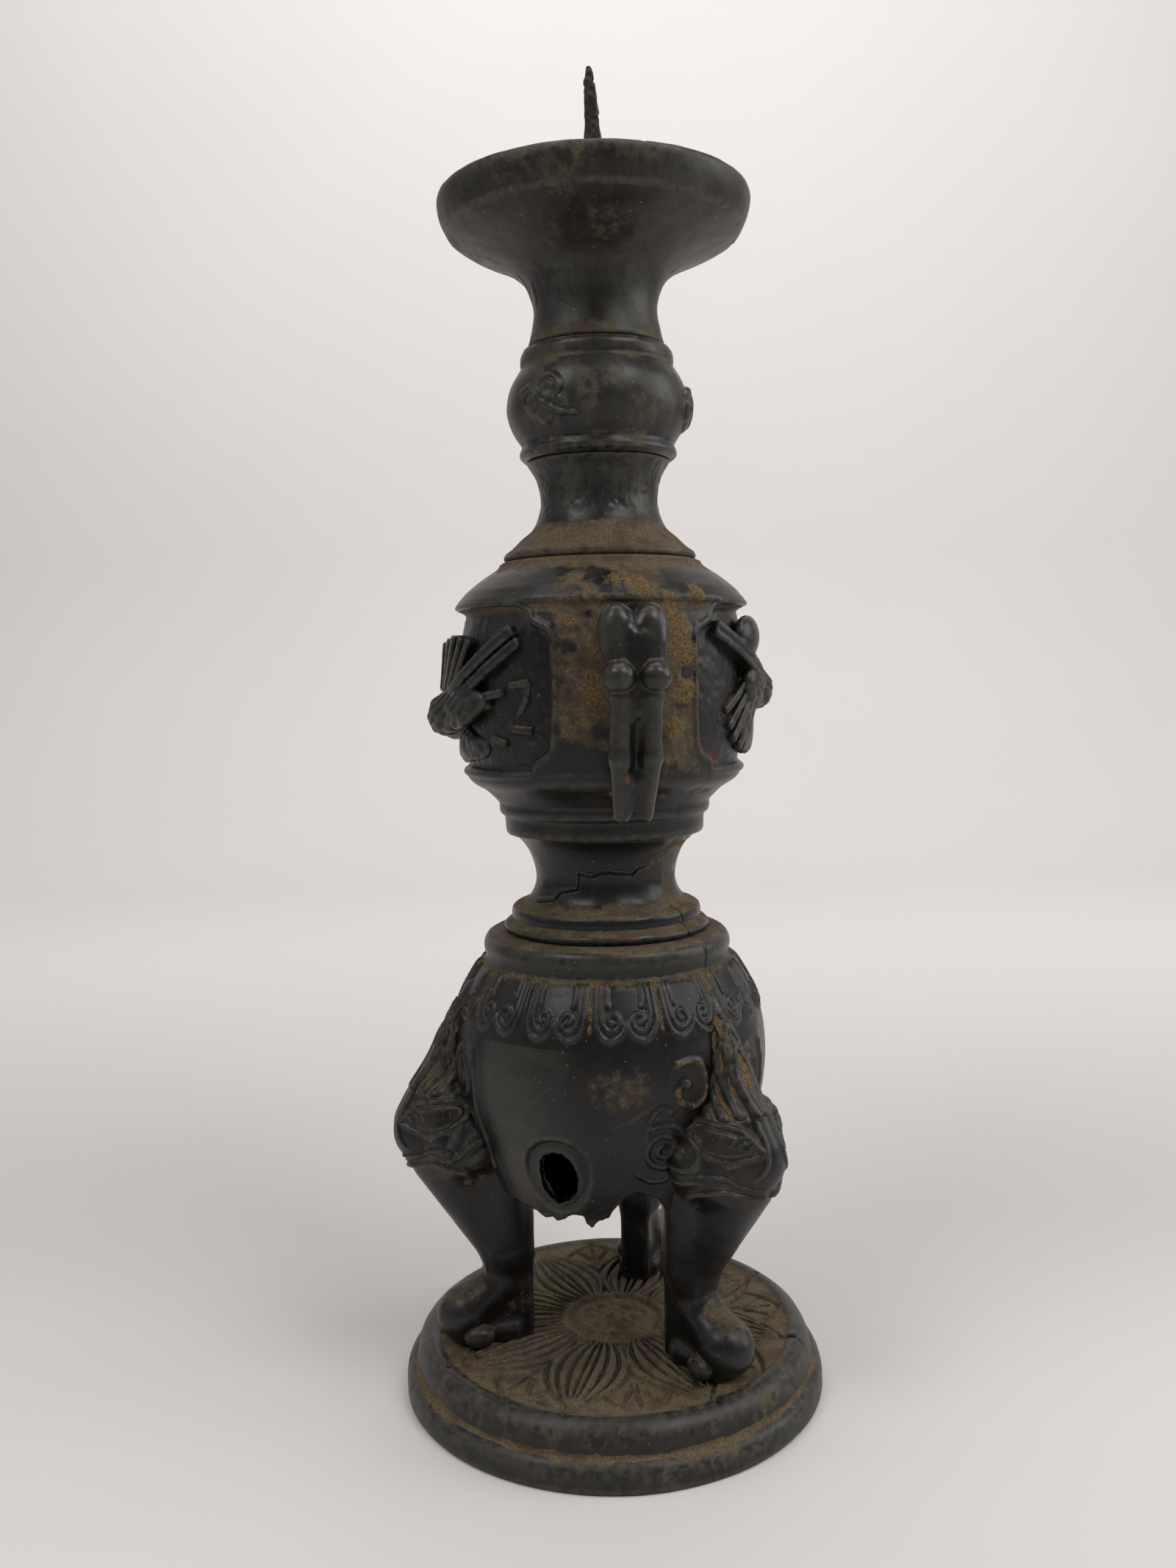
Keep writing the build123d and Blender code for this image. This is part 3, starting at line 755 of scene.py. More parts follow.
# strokes beside a leg, across and height: hook, whorl and its sprays, two oval whorls, edge
FLANK = (
    (HOOK, 1.5), (spiral((-13.4, 57.4), 5.1, 0.8, 2.0, 120, -1), 1.25),
    (curve([(-17.0, 59.6), (-16.6, 63.0), (-14.4, 65.6), (-12.4, 64.6)]), 1.1),
    (curve([(-10.0, 52.4), (-12.4, 50.8), (-15.2, 50.6), (-18.0, 52.2)]), 1.1),
    (spiral((7.4, 68.0), 3.4, 0.7, 1.9, 90, 1, 1.65), 1.15),
    (spiral((7.8, 56.2), 4.0, 0.9, 1.9, 90, -1, 1.5), 1.2),
    (curve([(11.6, 73.4), (12.2, 68), (11.8, 62), (12.4, 56), (11.0, 49.5)]), 0.9),
)
FLANK_R, FLANK_ANGLE = 31.0, math.radians(26)
# scratches: angle in degrees, height, and how far they go across and up
SCARS = ((-37, 68.4, 2.6, 1.2), (-30, 71.6, 1.0, 0.9), (-13, 62.0, 6.0, 3.2), (-8, 63.0, 5.5, 3.4))


def bell_radius(z):
    """Outer radius of the bell at a height."""
    return np.interp(z, BELL_WALL[:, 1], BELL_WALL[:, 0])


def off_gap(angle):
    """Distance from the middle of the nearest gap between lappets."""
    return np.abs((angle - FIRST_GAP + LAPPET_PITCH / 2) % LAPPET_PITCH - LAPPET_PITCH / 2) * 30


def lappet(angle, z):
    """Strokes, 0 to 1, of the row of lappets under the collar."""
    across = np.abs((angle - FIRST_GAP) % LAPPET_PITCH - LAPPET_PITCH / 2) * -30.0
    return strokes(across, z - 0.25, LAPPET)


def nearest_leg(angle):
    """Signed angle from the nearest leg, and that leg's number."""
    gaps = np.stack([apart(angle, a) for a in LEG_ANGLES])
    which = np.abs(gaps).argmin(0)
    return np.take_along_axis(gaps, which[None], 0)[0], which


def from_hole(angle, z):
    """Across and up from the middle of the hole, and the distance as a share of the hole's oval."""
    u, v = apart(angle, HOLE_ANGLE) * HOLE_R, z - HOLE_Z
    return u, v, np.hypot((u - 0.1 * v) / 4.0, v / 6.1)


def ragged_edge(points):
    """Size of the hole's ragged outline, as a share of its oval."""
    return 0.97 - 0.09 * noise(points, 2.2, 41) - 0.06 * noise(points, 0.9, 42)


def bell_shift(angle, r, z, points):
    """Relief of the bell's outside and its collar."""
    outside = r > bell_radius(z) - 1.0
    rel, _ = nearest_leg(angle)
    flank = 1 - ease(np.abs(rel), FLANK_ANGLE - 0.06, FLANK_ANGLE + 0.03)
    relief = 0.48 * np.where(z > 76, lappet(angle, z), 0) + 0.5 * strokes(rel * FLANK_R, z, FLANK)
    relief += 0.22 * flank * ease(77 - z, 0, 3)
    u, v, _ = from_hole(angle, z)
    relief -= 0.55 * (1 - ease(np.hypot((u - 0.12 * v) / 6.6, (v - 0.6) / 8.0), 0.93, 1.04))
    seam = apart(angle, math.radians(35.8)) * 24
    relief += casting_waves(points, 35, 0.1) - 0.3 * hump(seam, 0, 0.2) * (z > 80)
    collar = casting_waves(points, 36, 0.1) - 0.45 * hump(seam, 0, 0.25)
    return outside * np.where(z < 87.5, relief, collar * (r > 21) * (z > 87.5))


def pierce(verts, faces, n, first, last, rows):
    """Makes the hole: cells of both walls go, their edges are set on the ragged oval and joined through
    the thickness. first and last are the columns of the outer and inner wall at the lowest row."""
    around = len(verts) // n
    i, k = np.meshgrid(np.arange(around), np.arange(rows - 1), indexing="ij")
    centre = verts[i * n + first + k] * 0.5 + verts[(i + 1) % around * n + first + k + 1] * 0.5
    angle, _, z = polar(centre)
    gone = from_hole(angle, z)[2] < ragged_edge(centre)
    keep = np.ones((around, n), bool)
    keep[i[gone], first + k[gone]] = False
    keep[i[gone], last - 1 - k[gone]] = False
    near = sum(np.roll(np.pad(gone, ((0, 0), (1, 1))), a, 0)[:, b : b + rows] for a, b in np.ndindex(2, 2))
    ring, level = np.nonzero((near > 0) & (near < 4))
    for place in (ring * n + first + level, ring * n + last - level):
        angle, r, z = polar(verts[place])
        u, v, share = from_hole(angle, z)
        grow = np.clip(ragged_edge(verts[place]) / share, 0.85, 1.18)
        moved = HOLE_Z + v * grow
        r = r + bell_radius(moved) - bell_radius(z)
        verts[place] = upright(HOLE_ANGLE + u * grow / HOLE_R, r, moved)
    sides = ((-1, 0, (0, 0), (0, 1)), (1, 0, (1, 1), (1, 0)), (0, -1, (1, 0), (0, 0)), (0, 1, (0, 1), (1, 1)))
    bridges = []
    for a, b in zip(i[gone], k[gone]):
        for da, db, start, end in sides:
            if not (0 <= b + db < rows - 1 and gone[(a + da) % around, b + db]):
                (p, pk), (q, qk) = [((a + s) % around * n, b + t) for s, t in (start, end)]
                bridges.append((p + first + pk, q + first + qk, q + last - qk, p + last - pk))
    faces = np.vstack([faces.reshape(around, n, 4)[keep], bridges])
    used = np.unique(faces)
    return verts[used], np.searchsorted(used, faces)


def bell():
    """The hollow bell with its collar, relief, broken rim and hole, as one closed grid."""
    bottom, floor_z, hole_top, rows = BELL_WALL[0, 1], 45.2, 58.0, 26
    holed = np.linspace(floor_z, hole_top, rows)
    outer_z = np.r_[np.linspace(bottom, floor_z, 9)[:-1], holed]
    outer_z = np.r_[outer_z, np.arange(hole_top + 0.45, 74, 0.45), np.arange(74.0, 87.4, 0.28)]
    wall = np.stack([bell_radius(outer_z), outer_z], 1)
    band = outline(
        (24.6, 87.5),
        (0.42, (24.35, 88.3), (24.75, 90.6), (24.2, 92.4), (22.6, TRIPOD_TOP)),
        (0.9, (20.0, TRIPOD_TOP - 0.1)),
        (3.0, (12.3, TRIPOD_TOP - 0.1)),
        (3.5, (12.3, TRIPOD_TOP - 2.4), (21.2, TRIPOD_TOP - 2.4)),
    )
    inner = [(21.3, 90.8), (21.6, 87.0), (25.4, 83.5), (28.0, 78.5), (29.3, 70.0), (29.0, 65.0), (28.5, 61.0)]
    inner_low = np.stack([bell_radius(holed) - 2.2, holed], 1)[::-1]
    floor = [(20.0, 45.2), (14.0, 45.2), (7.0, 45.2), (0.03, 45.2), (0.03, 43.2), (7.0, 43.2), (14.0, 43.2),
             (18.5, 43.2), (20.6, 43.1), (21.2, 42.3), (21.5, bottom - 0.1), (22.4, bottom - 0.3)]
    path = np.vstack([wall, band, inner, inner_low, floor])

    def warp(angle, r, z):
        degrees = (np.degrees(angle) + 90) % 360 - 90
        ripple = 0.35 * noise(np.stack([degrees, 0 * z, 0 * z], -1), 1.6, 31)
        rim_z = np.interp(degrees, *np.array(RIM).T) + ripple
        lifted = rim_z + (z - bottom) * (hole_top - rim_z) / (hole_top - bottom)
        share = ease(r, 12, 20) * (z < hole_top)
        moved = z + share * (lifted - z)
        return r + share * (bell_radius(moved) - bell_radius(z)), moved

    verts, faces = turned(soften(path), 530, bell_shift, warp)
    last = len(wall) + len(band) + len(inner) + rows - 1
    verts, faces = pierce(verts, faces, len(path), 8, last, rows)
    thing, normal = solid("tripod_bell", verts, faces)
    angle, r, z = polar(verts)
    rel, which = nearest_leg(angle)
    outside = r > bell_radius(z) - 1.4
    u, v, _ = from_hole(angle, z)
    dish = 1 - ease(np.hypot(u / 6.6, (v - 0.6) / 8.0), 0.9, 1.05)
    rubbed_and_highlit = ease(np.abs(rel), FLANK_ANGLE, FLANK_ANGLE + 0.08) * (z < 76.5) * outside * (1 - dish)
    rubbed_and_highlit = rubbed_and_highlit * (1 - ease(apart(angle, math.radians(-40)), -0.05, 0.35))
    under_band = hump(z, 87.3, 0.9) * outside
    gap = (1 - ease(off_gap(angle), 0.3, 0.9)) * ease(z, 78, 80) * (z < 87.6) * outside
    raised = np.maximum(lappet(angle, z), strokes(rel * FLANK_R, z, FLANK)) * outside
    brown = hump(apart(angle, math.radians(-10)), 0, 0.22) * hump(z, 69, 4.5) * outside
    scars = sum(
        ridge(apart(angle, math.radians(a)) * 30, z, np.array([(0, start), (across, start + up)]), 0.7)
        for a, start, across, up in SCARS
    )
    finish_piece(
        thing, STAND, "tripod_body", "tripod_bronze", patina("tripod_patina"),
        dust=0.95 * (z > 92) * (r < 24) + 0.6 * under_band + 0.8 * brown,
        ochre=0.6 * ridge(rel * FLANK_R, z, HOOK, 1.9) * (which == 1)
        + 0.5 * under_band * patches(verts, 5, 44, -0.2, 0.4) + 0.62 * gap * patches(verts, 7, 47, -0.4, 0.2),
        rust=0.4 * patches(verts, 3, 45, 0.35, 0.7) * (which == 0) * (1 - ease(np.abs(rel), 0.2,
                                                                               0.3)) * outside
        + 0.4 * brown,
        grey=rubbed_and_highlit + 0.6 * (z > 87.6) * (r > 23),
        # painted shade: the inside of the bell and its downward faces are made fully black
        black=np.where(outside & (normal[:, 2] > -0.6), 0.7 * (1 - rubbed_and_highlit) * (1 - brown), 1.0),
        crest=0.8 * ease(raised, 0.35, 0.9) * patches(verts, 6, 46, -0.7, 0.3) + 0.6 * scars * outside,
    )


# ---- tripod body: the legs
# the mask's raised lines: across (10 times the angle round it) and height, with width and height in mm
MASK_LINES = [
    (curve([(1.6, 58.0), (3.6, 61.6), (6.6, 62.6), (9.6, 62.2), (11.6, 60.6)]), 1.15, 0.6),
    (curve([(1.8, 57.4), (4.2, 56.2), (7.4, 56.9), (11.4, 59.8)]), 1.05, 0.5),
    (spiral((3.4, 59.2), 1.7, 0.3, 1.4, 0), 0.8, 0.75),
    (curve([(10.4, 45.8), (11.4, 47.6), (10.0, 49.8), (6.6, 50.6), (3.6, 49.6), (0.9, 48.8)]), 1.5, 0.75),
    (curve([(9.0, 53.6), (6.2, 53.2), (3.8, 51.6), (1.2, 50.8)]), 1.1, 0.5),
    (curve([(1.5, 63.4), (1.2, 59.0), (1.5, 55.4), (2.6, 52.6)]), 0.8, 0.45),
]
# flame-shaped locks of the mane: across at the foot and the tip, height of the foot and the tip
LOCKS = ((1.0, 0.3, 64.0, 79.5), (3.2, 2.4, 64.2, 77.0), (5.6, 5.2, 64.0, 75.2), (8.0, 8.6, 63.4, 72.6),
         (10.4, 12.2, 62.4, 69.6), (2.1, 1.3, 69.0, 81.5), (4.4, 3.9, 69.2, 79.2), (7.0, 7.4, 67.6, 76.0))
for foot, tip, start, end in LOCKS:
    bend = (foot + 0.9, (start + end) / 2 - 1)
    MASK_LINES.append((curve([(foot, start), bend, (tip - 0.4, end - 3), (tip + 0.3, end)]), 2.1, 0.6))


def leg_distance(p):
    """One leg and its mask, in the leg's own frame: x out from the axis, y across, z up."""
    q = folded(p)
    head = join(
        limb(p * (1, 1.3, 1), (25.0, 0, 80.4), (38.1, 0, 56.4), 4.9, 5.4),
        (blob(p, (30.6, 0, 55.8), (9.0, 10.4, 9.0)), 5),
        (blob(p, (38.0, 0, 53.6), (5.2, 4.9, 4.4)), 3.0),
        (blob(q, (35.0, 4.2, 60.2), (3.9, 4.0, 4.4)), 2.2),
        (blob(q, (31.0, 7.2, 53.0), (5.6, 4.4, 5.4)), 3.0),
    )
    paw = join(
        limb(p * (1, 0.85, 1), (23.6, 0, 22.0), (30.0, 0, 17.4), 3.6, 4.2),
        (block(p, (26.0, 0, 12.6), (6.4, 4.4, 2.0), 1.4), 2.0),
        (blob(p, (31.0, 0, 16.2), (5.4, 5.2, 5.3)), 1.6),
        (blob(q, (28.6, 5.0, 13.2), (3.0, 1.9, 2.2)), 0.5),
    )
    shank = join(
        limb(p * (1, 0.9, 1), (33.9, 0, 49.2), (22.6, 0, 27.6), 6.6, 4.0),
        (limb(p * (1, 0.8, 1), (24.0, 0, 50.0), (21.6, 0, 30.0), 6.5, 4.0), 3.0),
        (block(p, (21.7, 0, 28.5), (4.7, 3.3, 17.8), 1.3), 2.4),
        (paw, 1.6),
    )
    _, r, z = polar(p)
    wall = np.where(z > 45.5, bell_radius(z) - 1.1 - r, -9.0)
    return np.maximum(np.maximum(join(head, (shank, 3.0)), wall), PLATE_TOP - z)


def mask_relief(verts):
    """Height (mm) of the beast mask's eyes, lips, nostrils and mane, and its raised strokes (0 to 1)."""
    x, y, z = verts.T
    side = np.abs(np.arctan2(y, x - 26.0)) * 10
    shown = ease(z, 44, 46) * ease(x, 26.5, 28.5)
    eye = 1 - ((side - 6.4) / 4.4) ** 2 - ((z - 59.4 - 0.24 * (side - 6.4)) / 2.4) ** 2
    raised, lines = 0.6 * ease(eye, 0.0, 0.3), np.zeros(len(verts))
    for line, width, height in MASK_LINES:
        stroke = ridge(side, z, line, width, 0.7 if width > 2 else 0.25)
        lines, raised = np.maximum(lines, stroke), np.maximum(raised, height * stroke)
    nostril = hump(side, 1.9, 0.8) * hump(z, 52.0, 0.8)
    toes = ridge(np.abs(y), z, np.array([(2.1, 11.0), (2.3, 17.0), (1.6, 19.5)]), 1.0) * (x > 31)
    return shown * (raised - 0.6 * nostril) - 0.5 * toes, shown * lines


def legs():
    verts, faces = skin(leg_distance, (16.0, -13.5, PLATE_TOP - 0.8),
                        (44.6, 13.5, 88.0), 0.3)
    outward = gradient(leg_distance, verts, 0.3)
    x, y, z = verts.T
    rel, r, _ = polar(verts)
    free = ease(r - bell_radius(z), -0.2, 0.8) * ease(z, 44, 47)
    relief, lines = mask_relief(verts)
    scrolls = strokes(rel * FLANK_R, z, FLANK) * (1 - ease(x, 33.6, 35.6)) * free
    relief, lines = np.maximum(relief, 0.42 * scrolls), np.maximum(lines, scrolls)
    waves = casting_waves(verts, 51, 0.16) * ease(z, 11.2, 12.2)
    verts = verts + outward * (relief + waves)[:, None]
    verts[:, 2] = np.maximum(verts[:, 2], PLATE_TOP)
    x, y, z = verts.T
    material = patina("leg_patina", dust=0.75)
    mane = (z > 63) * (x > 30)
    side = np.abs(np.arctan2(y, x - 26.0)) * 10
    rusty = ease(z, 50, 60) * (1 - ease(z, 80, 86)) * ease(side, -1, 6)
    for number, angle in enumerate(LEG_ANGLES):
        placed = turn(verts, angle)
        thing, normal = solid(f"tripod_leg_{number + 1}", placed, faces)
        between = mane * (1 - ease(lines, 0.0, 0.4)) * patches(placed, 3.5, 53, -0.4, 0.2, 3)
        finish_piece(
            thing, STAND, "tripod_body", "tripod_bronze", material,
            dust=0.75 * ease(normal[:, 2], 0.25, 0.95) * ease(34 - z, 0, 6) + 0.3 * mane,
            ochre=(0.75 if number == 1 else 0.45) * between + 0.35 * (z < 24) * patches(placed, 4, 55, 0.1,
                                                                                        0.5),
            rust=(0.5 if number == 0 else 0.2) * rusty * patches(placed, 4.5, 52, -0.05, 0.45, 3),
            grey=0.45 * patches(placed, 5, 54, 0.0, 0.6) * (z > 46) + 0.3 * ease(x, 30, 34) * (z < 22),
            black=0.6 * ease(50 - z, 0, 8),
            crest=0.75 * ease(lines, 0.4, 0.95) * patches(placed, 5, 56, -0.6, 0.3),
        )


# ---- vase body
VASE_TURN = middle_angle("right_handle")
PLUG_ANGLE = middle_angle("chaplet_plug")
PLUG_Z = (low("chaplet_plug") + high("chaplet_plug")) / 2
PANEL_R, PANEL_FOOT, PANEL_TOP = 28.7, 126.2, 156.5
# half of a panel's outline, with its stepped corners: across and height
HALF_PANEL = [(0, 126.2), (14, 126.2), (26.0, 126.5), (27.0, 128.4), (29.6, 129.9), (30.6, 131.4),
              (31.2, 137),
              (31.3, 145), (31.2, 150.4), (30.2, 151.9), (28.4, 152.7), (27.0, 153.4), (26.4, 154.7),
              (25.4, 155.7),
              (23.6, 156.2), (12, 156.5), (0, 156.6)]
# ochre crusts: angle in degrees, height, half width and half height in mm, strength
OCHRE_SPOTS = [
    (11, 154.5, 3.0, 3.2, 1.0), (14, 151, 3.2, 5.0, 1.05), (18, 147.5, 2.8, 4.0, 1.05),
    (17, 141.5, 2.6, 4.4, 1.0),
    (12, 134, 2.0, 2.2, 0.95), (-17.5, 141.8, 2.6, 5.2, 1.0), (-16, 150, 1.8, 3.0, 0.7),
    (-22, 136, 3.4, 2.4, 0.7),
    (-25.5, 153.7, 2.0, 1.8, 0.9), (-20, 158, 3.2, 2.0, 0.6), (-6, 161, 4.0, 2.4, 0.75),
    (1.6, 160, 3.0, 2.4, 0.85),
    (25, 158.3, 2.2, 2.2, 0.95), (10, 158.5, 3.0, 1.4, 0.7), (-26, 133.2, 3.6, 1.5, 0.65),
    (40, 121.5, 5.0, 0.9, 0.8),
    (14, 121.5, 4.5, 1.0, 0.6), (-8, 122.4, 6.0, 1.0, 0.55), (9, 128, 1.5, 3.0, 0.6),
    (172, 150, 3.0, 6.0, 0.9),
    (190, 142, 2.5, 5.0, 0.8), (160, 158.5, 5.0, 1.6, 0.6), (184, 133, 4.0, 2.0, 0.6),
]
DARK_SPOTS = [(-12, 161, 2.6, 1.8, 1.0), (17, 160.8, 3.0, 2.6, 1.0)]


def within(u, v, polygon):
    """Whether points lie inside a polygon."""
    result = np.zeros(np.shape(u), bool)
    for (x0, y0), (x1, y1) in zip(polygon, np.roll(polygon, -1, 0)):
        if y0 != y1:
            result ^= ((v < y0) != (v < y1)) & (u < x0 + (v - y0) * (x1 - x0) / (y1 - y0))
    return result


def panel_depth(angle, z):
    """Signed distance (mm) to the outline of the nearer panel, positive inside, and the angle in it."""
    rel = apart(angle - VASE_TURN, -math.pi / 2)
    rel = np.where(np.abs(rel) > math.pi / 2, apart(angle - VASE_TURN, math.pi / 2), rel)
    u = np.abs(rel) * PANEL_R
    line = np.array(HALF_PANEL, float)
    gap, _ = off_line(u, z, line[1:-1])
    gap = np.where(u < 14, np.minimum(gap, np.minimum(np.abs(z - PANEL_FOOT), np.abs(z - PANEL_TOP))), gap)
    return np.where(within(u, z, line), gap, -gap), rel


def blotch(angle, z, spots):
    """The strongest of several soft spots."""
    total = np.zeros(np.shape(angle))
    for degrees, middle, half_width, half_height, strength in spots:
        across = apart(angle, math.radians(degrees)) * 28.5
        total = np.maximum(total, strength * hump(across, 0, half_width) * hump(z, middle, half_height))
    return total


def vase():
    foot = VASE_FOOT
    path = outline(
        (12.3, foot),
        (1.5, (18.2, foot)),
        (0.4, (19.4, foot), (19.8, foot + 0.8)),
        (0.45, (19.9, foot + 3.6)),
        (0.45, (20.9, foot + 4.4), (20.95, foot + 6.3)),
        (0.3, (21.3, foot + 6.7)),
        (0.45, (23.4, foot + 8.8), (26.4, foot + 10.8), (27.7, foot + 13.2)),
        (0.42, (28.7, 132), (29.2, 142), (28.9, 151), (27.9, 156.2)),
        (0.3, (27.95, 156.8)),
        (0.3, (VASE_LIP_R, 157.2), (VASE_LIP_R, 158.0), (27.6, 159.0), (26.6, 160.2)),
        (0.42, (23.6, 162.6), (20.4, 164.7), (19.6, VASE_TOP)),
        (1.5, (9.1, VASE_TOP)),
        (1.6, (9.1, 162.8)),
        (4.5, (17.6, 162.4), (22, 160.6), (25.4, 157), (26, 150), (26.2, 142), (25.6, 130), (23.6, 123.8),
         (17.8, 119.6)),
        (3.5, (10.1, 119.6), (10.1, 117.1), (12.3, 117.0), (12.3, foot)),
    )

    def shift(angle, r, z, points):
        depth, _ = panel_depth(angle, z)
        wall = (r > 27.0) & (z > 124) & (z < 158)
        panel = 0.42 * hump(depth, -0.8, 0.4) - 1.35 * ease(depth, -0.25, 0.55)
        panel += 0.10 * noise(points, 1.1, 61) * (depth > 0.8)
        pit = hump(apart(angle, PLUG_ANGLE) * 29, 0, 1.25) * hump(z, PLUG_Z, 1.25)
        crust = ease(blotch(angle, z, OCHRE_SPOTS) + 0.5 * noise(points, 1.3, 62), 0.4, 0.7) * (depth < 0)
        front = apart(angle, math.radians(8))
        cracked = hump(z - VASE_TOP + 1.0 - 0.5 * noise(points, 4.0, 63), 0, 0.18) * (r < 21)
        cracked = cracked * ease(front, -0.5, -0.3) * (1 - ease(front, 0.5, 0.7))
        total = panel * wall - 0.7 * pit + 0.16 * crust - 0.45 * cracked + casting_waves(points, 64, 0.12)
        return total * ((r > 19) & (z > foot + 0.3) & (z < VASE_TOP - 0.1))

    thing, verts, _, angle, r, z = turned_piece("vase_body", path, 600, shift)
    depth, rel = panel_depth(angle, z)
    joint = ease(z, 162.6, 164.6) * (r > 18.5)
    wall = (z > 124) & (z < 157)
    in_panel = ease(depth, 0.0, 0.8) * wall
    corner = hump(rel, -0.9, 0.12) * hump(z, 128.2, 1.7) * (np.sin(angle) > 0) * (depth > -0.3)
    near_top = hump(depth, 1.0, 0.9) * wall
    smooth_low = ease(z + 3.0 * np.sin(3.0 * angle) + noise(verts, 3.0, 70), 127, 130)
    flank = sum(hump(apart(angle, VASE_TURN + side), 0, 0.56, 4) for side in (0, math.pi))
    brown = flank * smooth_low * patches(verts, 5.0, 65, -0.6, -0.05, 3) * (1 - in_panel)
    hole = hump(apart(angle, PLUG_ANGLE) * 29, 0, 1.3) * hump(z, PLUG_Z, 1.3)
    dark = blotch(angle, z, DARK_SPOTS)
    low_wall = 0.6 * (1 - smooth_low) * (z < 158)
    shoulder = (z > 158.4) * (r > 19) * (1 - joint) * (1 - brown)
    finish_piece(
        thing, STAND, "vase_body", "vase_bronze", patina("vase_patina", dust=0.85, gloss=0.38, pits=0.8),
        dust=joint + 0.95 * brown * (1 - dark) + 0.45 * near_top * ease(z, 140, 154),
        ochre=blotch(angle, z, OCHRE_SPOTS) * (depth < 0.3) + 0.35 * near_top * patches(verts, 4, 66, -0.1,
                                                                                        0.5),
        rust=0.95 * corner + 0.36 * brown * patches(verts, 4.0, 68, -0.3, 0.3, 3),
        grey=0.75 * shoulder + 0.35 * (z < 125) * patches(verts, 6, 67, 0, 0.5),
        black=np.clip(0.9 * in_panel + 0.9 * hole + 0.9 * dark + low_wall, 0, 1),
        crest=0.9 * hump(depth, -0.7, 0.6) * wall * patches(verts, 5, 69, -0.6, 0.3),
    )


# ---- reliefs
# feathers, twigs and rocks of each bird: from (across, up, radius) to (across, up, radius), half width
FRONT_BIRD = [
    ((2.6, 138.6, 31.8), (12.5, 145.2, 30.6), 1.1), ((12.0, 144.8, 30.6), (24.4, 152.4, 29.4), 1.1),
    ((5.0, 137.8, 31.2), (13.8, 143.0, 30.2), 1.0), ((13.4, 142.7, 30.2), (25.8, 150.2, 29.2), 1.0),
    ((6.4, 142.2, 30.9), (11.4, 151.0, 29.5), 0.9), ((4.6, 142.0, 31.3), (8.6, 151.4, 29.9), 0.8),
    ((2.6, 141.6, 31.6), (5.4, 151.8, 30.3), 0.9), ((0.8, 141.6, 31.7), (2.4, 151.4, 30.6), 0.8),
    ((-1.4, 141.6, 32.0), (-3.4, 150.6, 31.2), 1.4), ((-1.0, 139.6, 31.6), (-22.0, 150.8, 29.6), 1.1),
    ((-1.0, 138.0, 31.4), (-22.6, 147.6, 29.3), 1.1), ((-2.0, 136.6, 31.0), (-19.0, 143.8, 29.0), 1.1),
    ((8.0, 139.2, 30.6), (21.0, 141.0, 28.8), 0.8), ((8.0, 137.2, 30.4), (17.6, 138.8, 28.7), 0.7),
    ((22.6, 142.2, 28.3), (27.4, 142.8, 28.3), 0.7), ((27.4, 142.8, 28.3), (26.6, 139.2, 28.3), 0.7),
    ((26.6, 139.2, 28.3), (24.4, 136.6, 28.1), 0.6), ((23.0, 134.4, 28.1), (28.0, 134.0, 28.1), 0.8),
    ((17.0, 132.4, 28.1), (21.4, 131.6, 28.1), 0.7), ((-22.0, 142.0, 28.5), (-26.0, 138.0, 28.3), 0.7),
]
BACK_BIRD = [
    ((1.0, 139.8, 33.2), (13.0, 145.4, 31.2), 1.5), ((12.6, 145.2, 31.2), (27.4, 152.2, 29.3), 1.5),
    ((-1.4, 141.5, 32.0), (-3.4, 150.0, 31.4), 2.2), ((-1.0, 141.4, 31.8), (-22.0, 151.6, 29.6), 1.1),
    ((-1.0, 139.8, 31.6), (-22.6, 148.4, 29.3), 1.1), ((-2.0, 138.2, 31.2), (-19.0, 144.6, 29.0), 1.1),
    ((13.0, 143.6, 29.9), (23.4, 136.6, 28.4), 0.8), ((12.6, 141.8, 30.0), (22.0, 133.6, 28.4), 0.9),
    ((11.6, 140.2, 30.1), (20.0, 131.2, 28.4), 0.9), ((10.0, 139.0, 30.2), (17.2, 129.6, 28.5), 0.9),
    ((8.2, 138.0, 30.3), (14.2, 128.8, 28.5), 0.9), ((6.2, 137.0, 30.4), (10.8, 128.4, 28.5), 0.9),
    ((4.0, 136.6, 30.4), (7.2, 128.4, 28.5), 0.9), ((1.6, 136.2, 30.4), (3.4, 128.4, 28.5), 0.9),
    ((-1.0, 136.6, 30.2), (-1.0, 128.6, 28.4), 0.9), ((-21.0, 142.0, 28.5), (-26.0, 139.0, 28.3), 0.7),
]
# rounded bulks: centre (across, radius, up) and radii; the first is the breast
FRONT_BULKS = (
    ((1.0, 31.0, 136.8), (4.8, 3.5, 4.0)), ((7.0, 30.2, 137.8), (7.6, 2.3, 3.6)), ((11.0, 29.2, 139.4),
                                                                                   (6.4, 1.5, 2.6)),
    ((4.0, 29.0, 142.5), (6.0, 2.0, 4.6)), ((0.0, 27.4, 131.6), (9.0, 1.1, 4.4)), ((9.0, 27.3, 130.6),
                                                                                   (7.0, 0.9, 2.6)),
)
BACK_BULKS = (
    ((1.0, 31.0, 140.6), (4.6, 3.4, 4.2)), ((13.0, 29.0, 150.6), (6.8, 2.3, 4.2)), ((8.0, 29.6, 142.0),
                                                                                    (8.6, 2.4, 4.6)),
    ((7.0, 28.3, 133.6), (10.0, 1.6, 5.4)),
)
UNDER_R = 26.95


